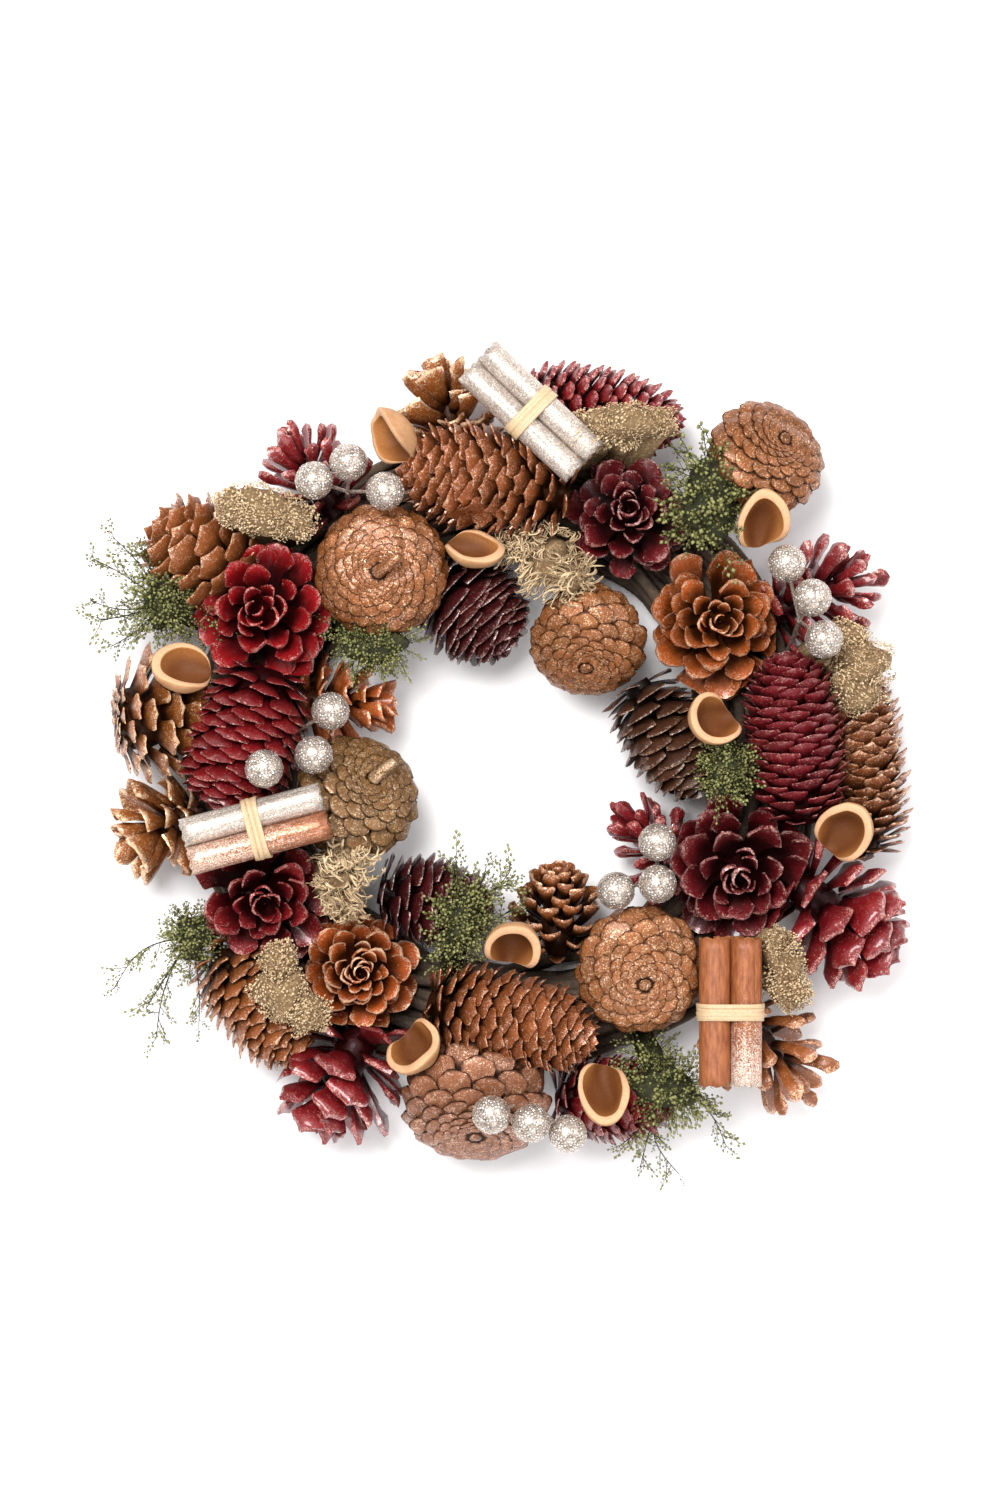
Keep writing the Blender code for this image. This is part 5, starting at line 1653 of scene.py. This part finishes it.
def vine_mesh(material):
    """A ring of vines that wind round each other, packed in a low flat-backed bundle."""
    draw = random.Random(3)
    made, edges = Gather(), []
    steps = 92
    around = 2 * math.pi * np.arange(steps) / steps

    def wind(low, high, turns):
        """A wave in metres that closes after each of some numbers of turns."""
        parts = [(draw.uniform(low, high), draw.uniform(0, 6.3), count) for count in turns]
        return MM * sum(a * np.sin(count * around + b) for a, b, count in parts)

    for level, (vines, height) in enumerate(VINE_LAYERS):
        width = RING_HALF_WIDTH * math.sqrt(max(1 - (height / 31) ** 2, 0.1))
        for number in range(vines):
            share = (number + 0.5) / vines * 2 - 1
            radius = VINE_RADIUS * draw.uniform(0.85, 1.08)
            reach = RING_RADIUS + share * (width - radius) + wind(1.2, 2.6, (3, 5, 8))
            rise = height * MM + wind(0.2, 1.0, (4, 7))
            if level:
                rise = np.maximum(rise, radius + 0.2 * MM)
            else:
                rise = np.full(steps, radius + 0.1 * MM)
            knots = 1 + 0.12 * np.sin(11 * around + number) * np.sin(5 * around + level)
            start = made.count
            edges += [(start + step, start + (step + 1) % steps) for step in range(steps)]
            points = np.stack([reach * np.cos(around), reach * np.sin(around), rise], -1)
            made.add(points, [], np.outer(radius * knots, (1, 0, 0)))
    vines = grow(made.mesh("vines", edges), vine_tree(), {"Sides": 6, "Material": material})
    mend_normals(vines)
    vines.shade_smooth()
    return vines


def vine_bark():
    """Weathered grape vine: grey brown bark that peels in long matt fibres."""
    made, add = new_material("weathered_vine_bark")
    object_place = add("ShaderNodeTexCoord").outputs["Object"]
    # Patches about 11 mm across, and fibres of about 1.4 mm
    patches = add("ShaderNodeTexNoise", {"Vector": object_place, "Scale": 90.0, "Detail": 5.0})
    fibres = add(
        "ShaderNodeTexNoise",
        {"Vector": object_place, "Scale": 700.0, "Detail": 5.0, "Roughness": 0.7},
    )
    mixed = add("ShaderNodeMath", {0: fibres, 1: 0.6, 2: patches}, operation="MULTIPLY_ADD")
    tone = add("ShaderNodeMapRange", {"Value": mixed, 1: 0.55, 2: 1.05})
    colour = add(
        "ShaderNodeMix", {0: tone, 6: srgb("#20150E"), 7: srgb("#64503E")}, data_type="RGBA"
    )
    bump = add("ShaderNodeBump", {"Strength": 0.8, "Distance": 0.6 * MM, "Height": fibres})
    return finish_material(made, {"Base Color": colour, "Normal": bump, "Roughness": 0.85})


# Properties, operators and panel


class WreathSizes(bpy.types.PropertyGroup):
    """Sizes and counts of the small things."""

    scale_share: bpy.props.FloatProperty(
        name="Scales", description="Share of the usual number of scales on each cone",
        default=1.0, min=0.3, max=2.0, subtype="FACTOR",
    )
    ball_radius: bpy.props.FloatProperty(
        name="Ball radius", description="Radius of a glitter ball", default=BALL_RADIUS * MM,
        unit="LENGTH",
    )
    ball_flakes: bpy.props.IntProperty(
        name="Flakes", description="Glitter flakes on a ball", default=420, min=50, max=2000
    )
    bark_thickness: bpy.props.FloatProperty(
        name="Bark thickness", description="Thickness of the cinnamon bark", default=1.0 * MM,
        unit="LENGTH",
    )
    green_tufts: bpy.props.IntProperty(
        name="Green tufts", description="Tufts in a cushion of green moss", default=138, min=20
    )
    lichen_tufts: bpy.props.IntProperty(
        name="Lichen tufts", description="Tufts in a cushion of lichen", default=240, min=20
    )


class WreathColours(bpy.types.PropertyGroup):
    """Main colours: one for each cone finish, and those of the other plants."""


for colour_name, colour_code in (
    *((name, coat.body) for name, coat in COATS.items()), *PLANT_COLOURS.items(),
):
    WreathColours.__annotations__[colour_name] = bpy.props.FloatVectorProperty(
        name=colour_name.replace("_", " ").capitalize(), description="Main colour of this finish",
        default=srgb(colour_code), size=4, min=0, max=1, subtype="COLOR",
    )


class WREATH_OT_stage(bpy.types.Operator):
    """Adds the floor, the lights and the camera."""

    bl_idname = "wreath.stage"
    bl_label = "Stage"

    def execute(self, context):
        build_stage(context.scene)
        return {"FINISHED"}


class WREATH_OT_ring(bpy.types.Operator):
    """Adds the ring of bundled vine."""

    bl_idname = "wreath.ring"
    bl_label = "Vine Ring"

    def execute(self, context):
        piece("vine_bundle", vine_mesh(vine_bark()), "vine", "vine_ring")
        return {"FINISHED"}


class WREATH_OT_cones(bpy.types.Operator):
    """Adds the pine cones of every kind."""

    bl_idname = "wreath.cones"
    bl_label = "Cones"

    def execute(self, context):
        colours = context.scene.wreath_colours
        coats = {
            name: cone_wood(name, coat, getattr(colours, name)) for name, coat in COATS.items()
        }
        named = (
            (f"{kind}_{number}", cone)
            for kind, cones in CONES.items() for number, cone in enumerate(cones, 1)
        )
        for seed, (node, cone) in enumerate(named, 1):
            build_cone(node, cone, coats[cone.coat or cone.slot], seed)
        return {"FINISHED"}


class WREATH_OT_pods(bpy.types.Operator):
    """Adds the seed pods."""

    bl_idname = "wreath.pods"
    bl_label = "Seed Pods"

    def execute(self, context):
        husk = pod_shell(context.scene.wreath_colours.pod_husk)
        for number, pod in enumerate(PODS, 1):
            mesh = pod_mesh(pod, number)
            mesh.materials.append(husk)
            piece(f"seed_pod_{number}_husk", mesh, "pod_tan", f"seed_pod_{number}")
        return {"FINISHED"}


class WREATH_OT_balls(bpy.types.Operator):
    """Adds the picks of glitter balls."""

    bl_idname = "wreath.balls"
    bl_label = "Glitter Balls"

    def execute(self, context):
        foil = glitter_foil()
        for number, spots in enumerate(BALL_PICKS, 1):
            mesh = pick_mesh(spots, number, foil)
            piece(f"glitter_pick_{number}", mesh, "glitter_silver", f"glitter_ball_pick_{number}")
        return {"FINISHED"}


class WREATH_OT_cinnamon(bpy.types.Operator):
    """Adds the cinnamon bundles and their raffia ties."""

    bl_idname = "wreath.cinnamon"
    bl_label = "Cinnamon"

    def execute(self, context):
        finishes = {finish: bark(*values) for finish, values in BARKS.items()}
        straw = raffia_leaf(context.scene.wreath_colours.raffia)
        for seed, (side, bundle) in enumerate(BUNDLES.items()):
            middle, heading, length, radius, sticks = bundle
            draw = random.Random(seed)
            places = stick_places(middle, heading, radius)
            for number, (place, finish) in enumerate(zip(places, sticks), 1):
                mesh = quill_mesh(place, (radius - STICK_GAP) * MM, length * MM, draw)
                mesh.materials.append(finishes[finish])
                # The first stick stands for the solid of all three
                nodes = [f"cinnamon_bundle_{side}"] if number == 1 else []
                piece(f"cinnamon_stick_{side}_{number}", mesh, BUNDLE_SLOTS[side], *nodes)
            tie = tie_mesh(middle, heading, radius, seed)
            tie.materials.append(straw)
            piece(f"raffia_{side}", tie, "raffia", f"raffia_tie_{side}")
        return {"FINISHED"}


class WREATH_OT_moss(bpy.types.Operator):
    """Adds the green moss and the lichen."""

    bl_idname = "wreath.moss"
    bl_label = "Moss and Lichen"

    def execute(self, context):
        colours = context.scene.wreath_colours
        # Patches of age about 2.5 mm across on the moss and 1.4 mm on the lichen
        green = moss_fibre("preserved_green_moss", "#161808", colours.green_moss, "#8E8E58", 400.0)
        pale = moss_fibre("dried_reindeer_lichen", "#5E4628", colours.lichen, "#E4CEAA", 700.0)
        for number, (moss, fan) in enumerate(OUTER_GREENS, 1):
            mesh = green_mesh(moss, fan, number, green)
            piece(f"green_spray_{number}", mesh, "moss_green", f"moss_spray_{number}")
        for number, moss in enumerate(INNER_GREENS, 1):
            mesh = green_mesh(moss, None, 20 + number, green)
            piece(f"green_cushion_{number}", mesh, "moss_green")
        for number, (moss, curly) in enumerate(LICHENS, 1):
            mesh = lichen_mesh(moss, curly, 40 + 3 * number, pale)
            piece(f"lichen_cushion_{number}", mesh, "vine")
        return {"FINISHED"}


STEPS = (
    WREATH_OT_stage, WREATH_OT_ring, WREATH_OT_cones, WREATH_OT_pods, WREATH_OT_balls,
    WREATH_OT_cinnamon, WREATH_OT_moss,
)


class VIEW3D_PT_wreath(bpy.types.Panel):
    """Lists the sizes, the colours and the steps of the wreath."""

    bl_label = "Pinecone Wreath"
    bl_space_type = "VIEW_3D"
    bl_region_type = "UI"
    bl_category = "Wreath"

    def draw(self, context):
        for group in (context.scene.wreath_sizes, context.scene.wreath_colours):
            for name in type(group).__annotations__:
                self.layout.prop(group, name)
        for step in STEPS:
            self.layout.operator(step.bl_idname)


def build_stage(scene):
    """A pale floor under soft studio light, and the camera that looks straight down."""
    world = bpy.data.worlds.new("studio")
    world.use_nodes = True
    background = world.node_tree.nodes["Background"]
    feed(world.node_tree, background, {"Color": (1, 1, 1, 1), "Strength": 0.66})
    scene.world = world
    scene.view_settings.view_transform = "Standard"

    mesh = bpy.data.meshes.new("floor")
    corners = [(-FLOOR_HALF, -FLOOR_HALF, 0), (FLOOR_HALF, -FLOOR_HALF, 0)]
    corners += [(-x, -y, 0) for x, y, _ in corners]
    mesh.from_pydata(corners, [], [(0, 1, 2, 3)])
    paper, _ = new_material("matt_white_paper")
    mesh.materials.append(
        finish_material(paper, {"Base Color": srgb("#FBF9FA"), "Roughness": 0.9})
    )
    floor = bpy.data.objects.new("floor", mesh)
    scene.collection.objects.link(floor)

    for name, place, size, power in LAMPS:
        light = bpy.data.lights.new(name, "AREA")
        light.size = size
        light.energy = power
        lamp = bpy.data.objects.new(name, light)
        lamp.location = place
        lamp.rotation_euler = (-Vector(place)).to_track_quat("-Z", "Y").to_euler()
        scene.collection.objects.link(lamp)

    camera = bpy.data.cameras.new("camera")
    camera.sensor_width = SENSOR
    camera.lens = CAMERA_DISTANCE * SENSOR / (IMAGE_SIZE[1] * PIXEL)
    camera.clip_end = 20
    view = bpy.data.objects.new("camera", camera)
    view.location = PHOTO_MIDDLE + Vector((0, 0, CAMERA_DISTANCE))
    scene.collection.objects.link(view)
    scene.camera = view


CLASSES = (WreathSizes, WreathColours, *STEPS, VIEW3D_PT_wreath)


def register():
    for item in CLASSES:
        bpy.utils.register_class(item)
    bpy.types.Scene.wreath_sizes = bpy.props.PointerProperty(type=WreathSizes)
    bpy.types.Scene.wreath_colours = bpy.props.PointerProperty(type=WreathColours)


def unregister():
    del bpy.types.Scene.wreath_colours
    del bpy.types.Scene.wreath_sizes
    for item in reversed(CLASSES):
        bpy.utils.unregister_class(item)


def main():
    register()
    bpy.ops.wreath.stage()
    bpy.ops.wreath.ring()
    bpy.ops.wreath.cones()
    bpy.ops.wreath.pods()
    bpy.ops.wreath.balls()
    bpy.ops.wreath.cinnamon()
    bpy.ops.wreath.moss()


if __name__ == "__main__":
    main()
